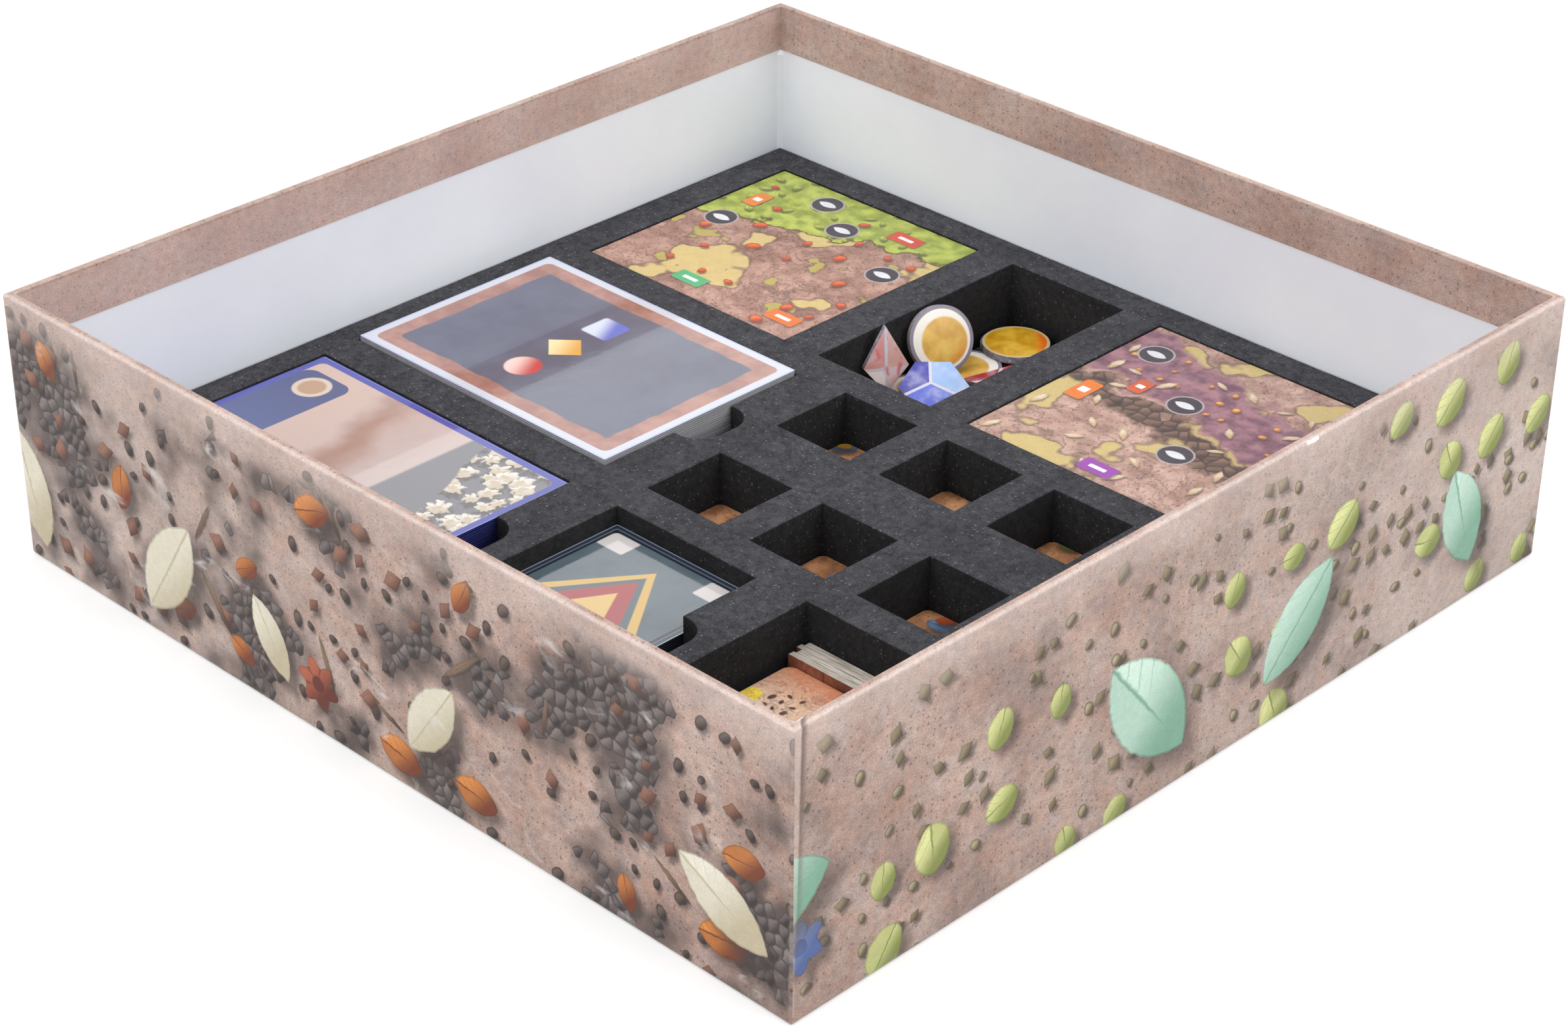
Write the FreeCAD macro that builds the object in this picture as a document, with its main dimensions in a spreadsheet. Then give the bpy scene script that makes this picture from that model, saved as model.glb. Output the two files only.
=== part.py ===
import FreeCAD, Part
import math
import os
import re
import Sketcher
from FreeCAD import Rotation, Vector

# A square set-up box of a board game with its foam insert: greyboard panels wrapped in printed paper,
# a foam tray with cut pockets, and the cards, boards, tiles and tokens that lie in the pockets.
# Millimetres, +Z up, the origin in the middle of the underside, the front wall towards -Y.

doc = FreeCAD.newDocument("GameBox")

DRIVING = {
    # greyboard, and the papers on both sides of it
    "box_height": 70.0,
    "board": 1.6,
    "wrap": 0.15,
    "stay": 0.1,
    "liner": 0.15,
    "bottom_sheet": 0.15,
    "sheet_inset": 2.0,
    "turn_in": 13.0,
    "turn_under": 15.0,
    "stay_leg": 20.0,
    "stay_end_gap": 3.0,
    # foam: a pocketed sheet glued on a plain floor sheet
    "foam_sheet": 20.5,
    "foam_floor": 5.0,
    "foam_gap": 0.45,
    "pocket_gap": 0.3,
    "finger_width": 19.0,
    "finger_depth": 8.5,
    "finger_corner": 7.0,
    # foam left standing between the pockets and around them
    "board_margin": 11.05,
    "row_web": 12.0,
    "deck_margin": 7.95,
    "tile_gap": 14.9,
    "tile_web": 9.86,
    "tile_margin": 11.97,
    "mini_gap": 15.9,
    "tray_gap": 15.0,
    "tray_margin": 11.45,
    "back_margin": 9.25,
    "row_gap": 11.3,
    "deck_web": 10.8,
    "front_margin": 15.95,
    "tile_row_gap": 9.5,
    "tile_row_web": 19.1,
    "tray_web": 9.8,
    # cards in their sleeves
    "card_length": 90.5,
    "card_width": 64.4,
    "card_thickness": 0.6,
    "blue_card_count": 33,
    "picture_card_count": 36,
    "mini_length": 63.7,
    "mini_width": 44.9,
    "mini_card_count": 26,
    # map boards
    "map_depth": 73.2,
    "square_map_width": 71.8,
    "long_map_width": 94.2,
    "map_thickness": 2.0,
    "map_count": 10,
    # small square tiles
    "tile_side": 23.3,
    "tile_thickness": 1.7,
    "tile_corner": 2.0,
    "tile_count": 4,
    "tile_columns": 4,
    "tile_rows": 2,
    # large flat tiles, and the narrow ones that stand on edge behind them
    "slab_width": 60.2,
    "slab_depth": 58.2,
    "slab_thickness": 2.0,
    "slab_corner": 2.5,
    "slab_count": 4,
    "slab_play": 2.0,
    "strip_length": 58.0,
    "strip_height": 10.4,
    "strip_thickness": 1.7,
    "strip_step": 0.8,
    "strip_count": 4,
    # punched tokens
    "coin_diameter": 17.9,
    "coin_thickness": 2.0,
    "coin_gap": 0.4,
    "coin_wall_gap": 0.8,
    "coin_layers": 2,
    "coin_columns": 2,
    "token_gap": 0.3,
    "amber_from_left": 12.2,
    "amber_from_back": 11.8,
    "red_sides": 3,
    "red_radius": 9.2,
    "red_from_left": 22.4,
    "red_from_front": 42.8,
    "red_turn": -15.7,
    "lean_from_front": 38.9,
    "lean_wall_gap": 0.5,
    "lean_angle": 66.0,
    "lean_turn": -23.0,
    "blue_sides": 6,
    "blue_radius": 9.1,
    "blue_from_left": 17.8,
    "blue_from_front": 23.9,
    "blue_angle": 25.0,
    "blue_turn": -45.0,
    "crystal_length": 18.2,
    "crystal_width": 12.0,
    "crystal_waist": 7.2,
    "crystal_from_front": 19.5,
    "crystal_angle": 82.0,
    "crystal_turn": -32.0,
}

DERIVED = {
    # each pocket is as large as what lies in it, and a gap all round
    "card_pocket_x": "card_length + 2 * pocket_gap",
    "card_pocket_y": "card_width + 2 * pocket_gap",
    "mini_pocket_x": "mini_width + 2 * pocket_gap",
    "mini_pocket_y": "mini_length + 2 * pocket_gap",
    "square_pocket_x": "square_map_width + 2 * pocket_gap",
    "long_pocket_x": "long_map_width + 2 * pocket_gap",
    "map_pocket_y": "map_depth + 2 * pocket_gap",
    "tile_pocket": "tile_side + 2 * pocket_gap",
    "tile_pitch_x": "tile_pocket + tile_web",
    "tile_pitch_y": "tile_pocket + tile_row_web",
    "tray_pocket_x": "slab_width + 2 * slab_play",
    "tray_pocket_y": "slab_depth + strip_count * strip_thickness + 3 * pocket_gap",
    "coin_pitch": "coin_diameter + coin_gap",
    "token_pocket_x": "coin_columns * coin_pitch - coin_gap + 2 * coin_wall_gap",
    # three rows of pockets from left to right, the widest one sets the foam's width
    "token_left": "board_margin + square_pocket_x + row_web",
    "long_left": "token_left + token_pocket_x + row_web",
    "tile_left": "deck_margin + card_pocket_x + tile_gap",
    "mini_left": "deck_margin + card_pocket_x + mini_gap",
    "tray_left": "mini_left + mini_pocket_x + tray_gap",
    "map_row": "long_left + long_pocket_x + board_margin",
    "tile_row": "tile_left + tile_columns * tile_pitch_x - tile_web + tile_margin",
    "tray_row": "tray_left + tray_pocket_x + tray_margin",
    "foam_width": "max(map_row; tile_row; tray_row)",
    # and from back to front, the longest column sets its depth
    "deck_column": "back_margin + map_pocket_y + row_gap + 2 * card_pocket_y + deck_web + front_margin",
    "tile_column": "back_margin + map_pocket_y + tile_row_gap + tile_rows * tile_pitch_y - tile_row_web"
                   " + tray_web + tray_pocket_y + front_margin",
    "foam_depth": "max(deck_column; tile_column)",
    "map_front": "foam_depth - back_margin - map_pocket_y",
    "picture_front": "map_front - row_gap - card_pocket_y",
    "blue_front": "picture_front - deck_web - card_pocket_y",
    "mini_front": "picture_front - deck_web - mini_pocket_y",
    "tile_back": "map_front - tile_row_gap",
    "tray_back": "tile_back - tile_rows * tile_pitch_y + tile_row_web - tray_web",
    "tray_front": "tray_back - tray_pocket_y",
    # the box closes round the foam
    "inner_width": "foam_width + 2 * foam_gap",
    "inner_depth": "foam_depth + 2 * foam_gap",
    "wall": "wrap + stay + board + liner",
    "rim": "wall + wrap",
    "box_width": "inner_width + 2 * wall",
    "box_depth": "inner_depth + 2 * wall",
    "panel_inset": "wrap + stay",
    # heights
    "base_bottom": "bottom_sheet + wrap",
    "base_top": "base_bottom + board",
    "floor_top": "base_top + liner",
    "pocket_bottom": "floor_top + foam_floor",
    "board_top": "box_height - wrap",
    "coins_top": "pocket_bottom + coin_layers * coin_thickness",
    # the foam's front left corner, from which pockets are measured
    "foam_left": "-foam_width / 2",
    "foam_front": "-foam_depth / 2",
    "token_corner_x": "foam_left + token_left",
    "token_corner_y": "foam_front + map_front",
}


def make_sheet():
    """Spreadsheet with the driving numbers first and the sizes that follow from them below."""
    sheet = doc.addObject("Spreadsheet::Sheet", "Sizes")
    rows = list(DRIVING.items()) + [(name, "=" + formula) for name, formula in DERIVED.items()]
    for row, (name, content) in enumerate(rows, start=1):
        sheet.set(f"A{row}", name)
        sheet.set(f"B{row}", str(content))
        sheet.setAlias(f"B{row}", name)
    doc.recompute()
    return sheet


sizes = make_sheet()
pieces = []


def tied(formula):
    """The formula with each size's name pointing at its cell."""
    def cell(match):
        name = match.group()
        return "Sizes." + name if name in DRIVING or name in DERIVED else name
    return re.sub(r"[a-z_]+", cell, formula)


def value(formula):
    """The formula's value now, for a first drawing and for counts."""
    return float(sizes.evalExpression(tied(formula)))


def count(formula):
    return int(value(formula))


def bind(thing, formulas):
    for name, formula in formulas.items():
        thing.setExpression(name, tied(formula))


def place(thing, x, y, z):
    bind(thing, {"Placement.Base.x": x, "Placement.Base.y": y, "Placement.Base.z": z})


def keep(thing, label):
    """Marks an object as a piece of the product, under the name of its file."""
    thing.Label = label
    pieces.append(thing)
    return thing


def block(name, size, corner):
    """Cuboid with its low corner at a place, all from formulas."""
    box = doc.addObject("Part::Box", name)
    bind(box, dict(zip(("Length", "Width", "Height"), size)))
    place(box, *corner)
    return box


def new_body(name, corner):
    body = doc.addObject("PartDesign::Body", name)
    place(body, *corner)
    return body


def new_sketch(body, name):
    """Sketch on the body's own ground plane."""
    sketch = body.newObject("Sketcher::SketchObject", name)
    ground = [plane for plane in body.Origin.OriginFeatures if plane.Role == "XY_Plane"]
    sketch.AttachmentSupport = [(ground[0], "")]
    sketch.MapMode = "FlatFace"
    return sketch


def dimension(sketch, kind, first, second, formula):
    """Distance along X or Y from one sketch point to another, tied to the sheet."""
    index = sketch.addConstraint(Sketcher.Constraint(kind, *first, *second, value(formula)))
    sketch.setExpression(f"Constraints[{index}]", tied(formula))


# a sketch's origin and the ends and centre of its lines and arcs, and half a turn in degrees
ORIGIN = (-1, 1)
START, END, CENTRE = 1, 2, 3
HALF_TURN = 180


def polygon(sketch, corners):
    """Closed outline of straight lines, each corner held by two distances from the sketch's origin."""
    points = [Vector(value(x), value(y), 0) for x, y in corners]
    lines = []
    for here, there in zip(points, points[1:] + points[:1]):
        lines.append(sketch.addGeometry(Part.LineSegment(here, there)))
    for line, following in zip(lines, lines[1:] + lines[:1]):
        sketch.addConstraint(Sketcher.Constraint("Coincident", line, END, following, START))
    for line, (x, y) in zip(lines, corners):
        dimension(sketch, "DistanceX", ORIGIN, (line, START), x)
        dimension(sketch, "DistanceY", ORIGIN, (line, START), y)


def rectangle(sketch, x, y, width, depth):
    far_x = f"{x} + {width}"
    far_y = f"{y} + {depth}"
    polygon(sketch, [(x, y), (far_x, y), (far_x, far_y), (x, far_y)])


def rounded_rectangle(sketch, x, y, width, depth, radius):
    """Rectangle with round corners: four arcs and the four lines that join them."""
    low_x, low_y = f"{x} + {radius}", f"{y} + {radius}"
    high_x, high_y = f"{x} + {width} - {radius}", f"{y} + {depth} - {radius}"
    centres = [(high_x, low_y), (high_x, high_y), (low_x, high_y), (low_x, low_y)]
    quarter = math.pi / 2
    arcs = []
    for turn, (cx, cy) in enumerate(centres):
        middle = Vector(value(cx), value(cy), 0)
        circle = Part.Circle(middle, Vector(0, 0, 1), value(radius))
        arcs.append(sketch.addGeometry(Part.ArcOfCircle(circle, (turn - 1) * quarter, turn * quarter)))
    for arc, following, (cx, cy) in zip(arcs, arcs[1:] + arcs[:1], centres):
        ends = sketch.getPoint(arc, END), sketch.getPoint(following, START)
        line = sketch.addGeometry(Part.LineSegment(*ends))
        sketch.addConstraint(Sketcher.Constraint("Tangent", arc, END, line, START))
        sketch.addConstraint(Sketcher.Constraint("Tangent", line, END, following, START))
        dimension(sketch, "DistanceX", ORIGIN, (arc, CENTRE), cx)
        dimension(sketch, "DistanceY", ORIGIN, (arc, CENTRE), cy)
    for arc in arcs[1:]:
        sketch.addConstraint(Sketcher.Constraint("Equal", arcs[0], arc))
    index = sketch.addConstraint(Sketcher.Constraint("Radius", arcs[0], value(radius)))
    sketch.setExpression(f"Constraints[{index}]", tied(radius))


def pad(body, sketch, height):
    feature = body.newObject("PartDesign::Pad", sketch.Name + "Pad")
    feature.Profile = sketch
    bind(feature, {"Length": height})
    doc.recompute()
    return feature


def pocket(body, sketch, depth):
    """Cut upwards from the body's ground plane."""
    before = body.Shape.Volume
    feature = body.newObject("PartDesign::Pocket", sketch.Name + "Pocket")
    feature.Profile = sketch
    feature.Reversed = True
    bind(feature, {"Length": depth})
    doc.recompute()
    if not body.Shape.Volume < before:
        raise RuntimeError(sketch.Name + " cuts nothing")
    return feature


def stack(label, sample, places):
    """Several copies of one sample piece, each its own solid, kept together under one name."""
    copies = []
    for index, corner in enumerate(places):
        copy = doc.addObject("App::Link", f"{label}_{index}")
        copy.LinkedObject = sample
        place(copy, *corner)
        copies.append(copy)
    group = doc.addObject("Part::Compound", label)
    group.Links = copies
    return keep(group, label)


def pile(x, y, bottom, thickness, number):
    """Places of pieces that lie flat on each other."""
    return [(x, y, f"{bottom} + {index} * {thickness}") for index in range(number)]


def from_foam(left, front):
    """Place in the box of a point measured from the foam's front left corner."""
    return f"foam_left + {left}", f"foam_front + {front}"


# Greyboard panels. The front and back walls run the full width, the side walls stand between them,
# and all four stand on the outside edge of the base.

def make_boards():
    left = "-box_width / 2 + panel_inset"
    front = "-box_depth / 2 + panel_inset"
    full_x = "box_width - 2 * panel_inset"
    full_y = "box_depth - 2 * panel_inset"
    rise = "board_top - base_top"
    between = f"{full_y} - 2 * board"
    behind = f"{front} + board"
    far_x = "box_width / 2 - panel_inset - board"
    far_y = "box_depth / 2 - panel_inset - board"
    keep(block("BaseBoard", (full_x, full_y, "board"), (left, front, "base_bottom")), "base_board")
    keep(block("FrontBoard", (full_x, "board", rise), (left, front, "base_top")), "front_board")
    keep(block("BackBoard", (full_x, "board", rise), (left, far_y, "base_top")), "back_board")
    keep(block("LeftBoard", ("board", between, rise), (left, behind, "base_top")), "left_board")
    keep(block("RightBoard", ("board", between, rise), (far_x, behind, "base_top")), "right_board")


# Paper tapes folded round the four upright corners, under the printed wrap.

def make_stays():
    low = "base_bottom + stay_end_gap"
    height = "board_top - base_bottom - 2 * stay_end_gap"
    outer = block("StayOuter", ("box_width - 2 * wrap", "box_depth - 2 * wrap", height),
                  ("-box_width / 2 + wrap", "-box_depth / 2 + wrap", low))
    inner = block("StayInner", ("box_width - 2 * panel_inset", "box_depth - 2 * panel_inset", height),
                  ("-box_width / 2 + panel_inset", "-box_depth / 2 + panel_inset", low))
    along_x = block("StayGapX", ("box_width - 2 * panel_inset - 2 * stay_leg", "box_depth", height),
                    ("-box_width / 2 + panel_inset + stay_leg", "-box_depth / 2", low))
    along_y = block("StayGapY", ("box_width", "box_depth - 2 * panel_inset - 2 * stay_leg", height),
                    ("-box_width / 2", "-box_depth / 2 + panel_inset + stay_leg", low))
    waste = doc.addObject("Part::MultiFuse", "StayWaste")
    waste.Shapes = [inner, along_x, along_y]
    stays = doc.addObject("Part::Cut", "Stays")
    stays.Base = outer
    stays.Tool = waste
    keep(stays, "corner_stays")


# One printed sheet: up the outside, over the rim, down the inside by the turn-in, and under the base.

def make_wrap():
    body = new_body("SideWrap", ("-box_width / 2", "-box_depth / 2", "bottom_sheet"))

    def ring(name, outer, inner):
        sketch = new_sketch(body, name)
        for inset in (outer, inner):
            rectangle(sketch, inset, inset, f"box_width - 2 * ({inset})", f"box_depth - 2 * ({inset})")
        return sketch

    pad(body, ring("WrapWall", "0", "rim"), "box_height - bottom_sheet")
    pocket(body, ring("WrapCore", "wrap", "rim - wrap"), "board_top - bottom_sheet")
    pocket(body, ring("WrapBelowTurnIn", "rim - wrap", "rim"), "box_height - turn_in - bottom_sheet")
    pad(body, ring("WrapTurnUnder", "0", "turn_under"), "wrap")
    keep(body, "side_wrap")


# White paper on the inside of the panels, and the plain sheet under the base.

def make_papers():
    body = new_body("WhiteLiner", ("-inner_width / 2 - liner", "-inner_depth / 2 - liner", "base_top"))
    outside = new_sketch(body, "LinerOutside")
    rectangle(outside, "0", "0", "inner_width + 2 * liner", "inner_depth + 2 * liner")
    pad(body, outside, "board_top - base_top")
    inside = new_sketch(body, "LinerInside")
    bind(inside, {"AttachmentOffset.Base.z": "liner"})
    rectangle(inside, "liner", "liner", "inner_width", "inner_depth")
    pocket(body, inside, "board_top - base_top - liner")
    keep(body, "white_liner")

    sheet = block("BottomSheet",
                  ("box_width - 2 * sheet_inset", "box_depth - 2 * sheet_inset", "bottom_sheet"),
                  ("-box_width / 2 + sheet_inset", "-box_depth / 2 + sheet_inset", "0"))
    keep(sheet, "bottom_sheet")


# Foam: pockets cut right through the upper sheet, with finger scoops beside the card decks.

def make_foam():
    body = new_body("FoamBlock", ("foam_left", "foam_front", "pocket_bottom"))
    outline = new_sketch(body, "FoamOutline")
    rectangle(outline, "0", "0", "foam_width", "foam_depth")
    pad(body, outline, "foam_sheet")

    pockets = new_sketch(body, "FoamPockets")
    rectangle(pockets, "deck_margin", "blue_front", "card_pocket_x", "card_pocket_y")
    rectangle(pockets, "deck_margin", "picture_front", "card_pocket_x", "card_pocket_y")
    rectangle(pockets, "mini_left", "mini_front", "mini_pocket_x", "mini_pocket_y")
    rectangle(pockets, "tray_left", "tray_front", "tray_pocket_x", "tray_pocket_y")
    rectangle(pockets, "board_margin", "map_front", "square_pocket_x", "map_pocket_y")
    rectangle(pockets, "token_left", "map_front", "token_pocket_x", "map_pocket_y")
    rectangle(pockets, "long_left", "map_front", "long_pocket_x", "map_pocket_y")
    for left, front in tile_corners():
        rectangle(pockets, left, front, "tile_pocket", "tile_pocket")
    pocket(body, pockets, "foam_sheet")

    scoops = new_sketch(body, "FingerScoops")
    decks = [
        ("deck_margin + card_pocket_x", "blue_front + card_pocket_y / 2"),
        ("deck_margin + card_pocket_x", "picture_front + card_pocket_y / 2"),
        ("mini_left + mini_pocket_x", "mini_front + mini_pocket_y / 2"),
    ]
    for edge, middle in decks:
        rounded_rectangle(scoops, f"{edge} - finger_depth", f"{middle} - finger_width / 2",
                          "2 * finger_depth", "finger_width", "finger_corner")
    pocket(body, scoops, "foam_sheet")
    keep(body, "foam_block")

    floor = block("FoamFloor", ("foam_width", "foam_depth", "foam_floor"),
                  ("foam_left", "foam_front", "floor_top"))
    keep(floor, "foam_floor")


def tile_corners():
    """Front left corners of the small pockets, along each row, the back row first."""
    corners = []
    for row in range(count("tile_rows")):
        for column in range(count("tile_columns")):
            left = f"tile_left + {column} * tile_pitch_x"
            front = f"tile_back - tile_pocket - {row} * tile_pitch_y"
            corners.append((left, front))
    return corners


# Cards: decks of sleeved cards lying in their pockets.

def make_decks():
    card = block("Card", ("card_length", "card_width", "card_thickness"), ("0", "0", "0"))
    mini = block("MiniCard", ("mini_width", "mini_length", "card_thickness"), ("0", "0", "0"))
    decks = [
        ("blue_card_deck", card, "deck_margin", "blue_front", "blue_card_count"),
        ("picture_card_deck", card, "deck_margin", "picture_front", "picture_card_count"),
        ("mini_card_deck", mini, "mini_left", "mini_front", "mini_card_count"),
    ]
    for label, sample, left, front, number in decks:
        x, y = from_foam(f"{left} + pocket_gap", f"{front} + pocket_gap")
        stack(label, sample, pile(x, y, "pocket_bottom", "card_thickness", count(number)))


def new_tile(name, width, depth, thickness, corner):
    """Punched tile with round corners."""
    body = new_body(name, ("0", "0", "0"))
    outline = new_sketch(body, name + "Outline")
    rounded_rectangle(outline, "0", "0", width, depth, corner)
    pad(body, outline, thickness)
    return body


# Boards and tiles: punched from printed greyboard.

def make_boards_and_tiles():
    square = block("SquareMap", ("square_map_width", "map_depth", "map_thickness"), ("0", "0", "0"))
    long = block("LongMap", ("long_map_width", "map_depth", "map_thickness"), ("0", "0", "0"))
    maps = [("square_map_stack", square, "board_margin"), ("long_map_stack", long, "long_left")]
    for label, sample, left in maps:
        x, y = from_foam(f"{left} + pocket_gap", "map_front + pocket_gap")
        stack(label, sample, pile(x, y, "pocket_bottom", "map_thickness", count("map_count")))

    tile = new_tile("Tile", "tile_side", "tile_side", "tile_thickness", "tile_corner")
    for number, (left, front) in enumerate(tile_corners(), start=1):
        x, y = from_foam(f"{left} + pocket_gap", f"{front} + pocket_gap")
        places = pile(x, y, "pocket_bottom", "tile_thickness", count("tile_count"))
        stack(f"tile_stack_{number}", tile, places)

    slab = new_tile("Slab", "slab_width", "slab_depth", "slab_thickness", "slab_corner")
    x, y = from_foam("tray_left + slab_play", "tray_front + pocket_gap")
    stack("slab_stack", slab, pile(x, y, "pocket_bottom", "slab_thickness", count("slab_count")))

    # the strips' ends don't lie even: they come in three places, a step apart
    strip = block("Strip", ("strip_length", "strip_thickness", "strip_height"), ("0", "0", "0"))
    places = []
    for index in range(count("strip_count")):
        x, y = from_foam(f"tray_left + pocket_gap + {(index + 1) % 3} * strip_step",
                         f"tray_front + slab_depth + 2 * pocket_gap + {index} * strip_thickness")
        places.append((x, y, "pocket_bottom"))
    stack("standing_strips", strip, places)


# Tokens: coins lie flat in the bottom of their pocket, and a few loose tokens on top of them.

def make_tokens():
    coin = doc.addObject("Part::Cylinder", "Coin")
    bind(coin, {"Radius": "coin_diameter / 2", "Height": "coin_thickness"})
    rows = count("floor((map_pocket_y + coin_gap - 2 * pocket_gap) / coin_pitch)")
    places = []
    for layer in range(count("coin_layers")):
        for column in range(count("coin_columns")):
            for row in range(rows):
                x = f"token_corner_x + coin_wall_gap + coin_diameter / 2 + {column} * coin_pitch"
                y = f"token_corner_y + pocket_gap + coin_diameter / 2 + {row} * coin_pitch"
                places.append((x, y, f"pocket_bottom + {layer} * coin_thickness"))
    stack("bottom_coins", coin, places)

    amber = doc.addObject("Part::Cylinder", "AmberCoin")
    bind(amber, {"Radius": "coin_diameter / 2", "Height": "coin_thickness"})
    from_back = "token_corner_y + map_pocket_y - amber_from_back"
    place(amber, "token_corner_x + amber_from_left", from_back, "coins_top")
    keep(amber, "amber_coin")

    red = new_gem("RedGem", "red_sides", "red_radius", "red_turn")
    place(red, "token_corner_x + red_from_left", "token_corner_y + red_from_front", "coins_top")
    keep(red, "red_gem")

    # the leaning coin's rim stands on the flat coins and its back edge is against the pocket's left wall
    leaning = doc.addObject("Part::Cylinder", "LeaningCoin")
    bind(leaning, {"Radius": "coin_diameter / 2", "Height": "coin_thickness"})
    reach = "sqrt(1 - (sin(lean_angle) * cos(lean_turn)) ^ 2)"
    tilt(leaning, "lean_angle", "lean_turn",
         f"token_corner_x + lean_wall_gap + coin_diameter / 2 * {reach}"
         " + coin_thickness / 2 * sin(lean_angle) * cos(lean_turn)",
         "token_corner_y + lean_from_front",
         "coin_diameter / 2 * sin(lean_angle)")
    keep(leaning, "leaning_coin")

    # a flat side of the blue gem rests on the coins
    half_side = f"{HALF_TURN} / blue_sides"
    blue = new_gem("BlueGem", "blue_sides", "blue_radius", f"blue_turn + {half_side}")
    tilt(blue, "blue_angle", "blue_turn",
         "token_corner_x + blue_from_left",
         "token_corner_y + blue_from_front",
         f"blue_radius * cos({half_side}) * sin(blue_angle)")
    keep(blue, "blue_gem")

    # the crystal stands on its point, with one corner of its waist against the pocket's left wall
    crystal = new_body("PinkCrystal", ("0", "0", "0"))
    outline = new_sketch(crystal, "CrystalOutline")
    corners = [
        ("0", "0"),
        ("crystal_waist", "crystal_width / 2"),
        ("crystal_length", "0"),
        ("crystal_waist", "-crystal_width / 2"),
    ]
    polygon(outline, [turned(along, across, "crystal_turn") for along, across in corners])
    pad(crystal, outline, "coin_thickness")
    waist_back = "crystal_waist * cos(crystal_angle) * cos(crystal_turn)"
    waist_side = "crystal_width / 2 * sin(crystal_turn)"
    tilt(crystal, "crystal_angle", "crystal_turn",
         f"token_corner_x + lean_wall_gap + {waist_back} - {waist_side}"
         " + coin_thickness / 2 * sin(crystal_angle) * cos(crystal_turn)",
         "token_corner_y + crystal_from_front", "0")
    keep(crystal, "pink_crystal")


def turned(along, across, turn):
    """Sketch point at a distance against the direction of turn and to one side of it."""
    x = f"-({along}) * cos({turn}) - ({across}) * sin({turn})"
    y = f"-({along}) * sin({turn}) + ({across}) * cos({turn})"
    return x, y


def new_gem(name, sides, radius, turn):
    """Flat punched token with a regular outline, one corner towards its turn."""
    body = new_body(name, ("0", "0", "0"))
    outline = new_sketch(body, name + "Outline")
    corners = []
    for corner in range(count(sides)):
        angle = f"{turn} + {2 * HALF_TURN} * {corner} / {sides}"
        corners.append((f"{radius} * cos({angle})", f"{radius} * sin({angle})"))
    polygon(outline, corners)
    pad(body, outline, "coin_thickness")
    return body


def tilt(token, angle, turn, x, y, rise):
    """Leans a token that lies flat: its face turns up from level by angle and looks towards turn.

    x, y is the middle of the token, and rise is how far that middle lies above its lowest edge.
    """
    heading = Rotation(Vector(0, 0, 1), value(turn))
    token.Placement.Rotation = Rotation(heading.multVec(Vector(0, 1, 0)), value(angle))
    bind(token, {"Placement.Rotation.Angle": angle})
    half = "coin_thickness / 2"
    place(token, f"{x} - {half} * sin({angle}) * cos({turn})", f"{y} - {half} * sin({angle}) * sin({turn})",
          f"coins_top + token_gap + {rise}")


def check_and_export():
    """Stops on any failed object, then writes one file for each piece."""
    doc.recompute()
    failed = [thing.Name for thing in doc.Objects if {"Invalid", "Error"} & set(thing.State)]
    if failed:
        raise RuntimeError("failed: " + ", ".join(failed))
    for piece in pieces:
        if piece.Shape.isNull() or not piece.Shape.isValid():
            raise RuntimeError("bad shape: " + piece.Label)
    os.makedirs("parts", exist_ok=True)
    for piece in pieces:
        piece.Shape.exportStep(f"parts/{piece.Label}.step")
        print(piece.Label, len(piece.Shape.Solids), "solids", round(piece.Shape.Volume, 1), "mm3")


make_boards()
make_stays()
make_wrap()
make_papers()
make_foam()
make_decks()
make_boards_and_tiles()
make_tokens()
check_and_export()
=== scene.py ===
from collections import namedtuple
import math

import bmesh
import bpy
from mathutils import Matrix, Vector, noise


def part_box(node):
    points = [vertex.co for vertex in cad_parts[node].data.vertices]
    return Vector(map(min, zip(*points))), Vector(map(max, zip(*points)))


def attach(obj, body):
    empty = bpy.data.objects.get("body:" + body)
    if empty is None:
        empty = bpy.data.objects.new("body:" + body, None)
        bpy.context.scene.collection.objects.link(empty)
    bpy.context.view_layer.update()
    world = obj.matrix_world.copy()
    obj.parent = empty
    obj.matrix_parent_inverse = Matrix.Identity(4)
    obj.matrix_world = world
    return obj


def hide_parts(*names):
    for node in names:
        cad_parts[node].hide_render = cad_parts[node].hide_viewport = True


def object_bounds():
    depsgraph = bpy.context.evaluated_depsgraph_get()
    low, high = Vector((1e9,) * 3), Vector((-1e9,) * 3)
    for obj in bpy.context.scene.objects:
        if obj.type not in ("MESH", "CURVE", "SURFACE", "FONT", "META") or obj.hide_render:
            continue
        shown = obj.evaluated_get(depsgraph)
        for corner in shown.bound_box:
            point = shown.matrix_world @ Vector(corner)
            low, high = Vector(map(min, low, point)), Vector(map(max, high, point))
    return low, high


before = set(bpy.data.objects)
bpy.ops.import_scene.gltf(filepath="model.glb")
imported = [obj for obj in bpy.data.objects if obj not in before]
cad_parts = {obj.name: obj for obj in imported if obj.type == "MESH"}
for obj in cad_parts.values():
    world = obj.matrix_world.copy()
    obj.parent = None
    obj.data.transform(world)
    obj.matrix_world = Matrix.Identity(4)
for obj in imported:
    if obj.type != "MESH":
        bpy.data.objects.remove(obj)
cad_low, cad_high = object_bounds()

# An open board game box: printed paper over greyboard, a foam tray with cut pockets, and in the pockets
# sleeved cards, punched map boards, tiles and tokens. Lengths are in metres, and printed patterns are laid
# out in millimetres.

MM = 0.001
QUARTER = math.pi / 2
SIDE_MM = (cad_high.x - cad_low.x) / MM
HEIGHT_MM = (cad_high.z - cad_low.z) / MM
WELD = 0.001 * MM

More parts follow.
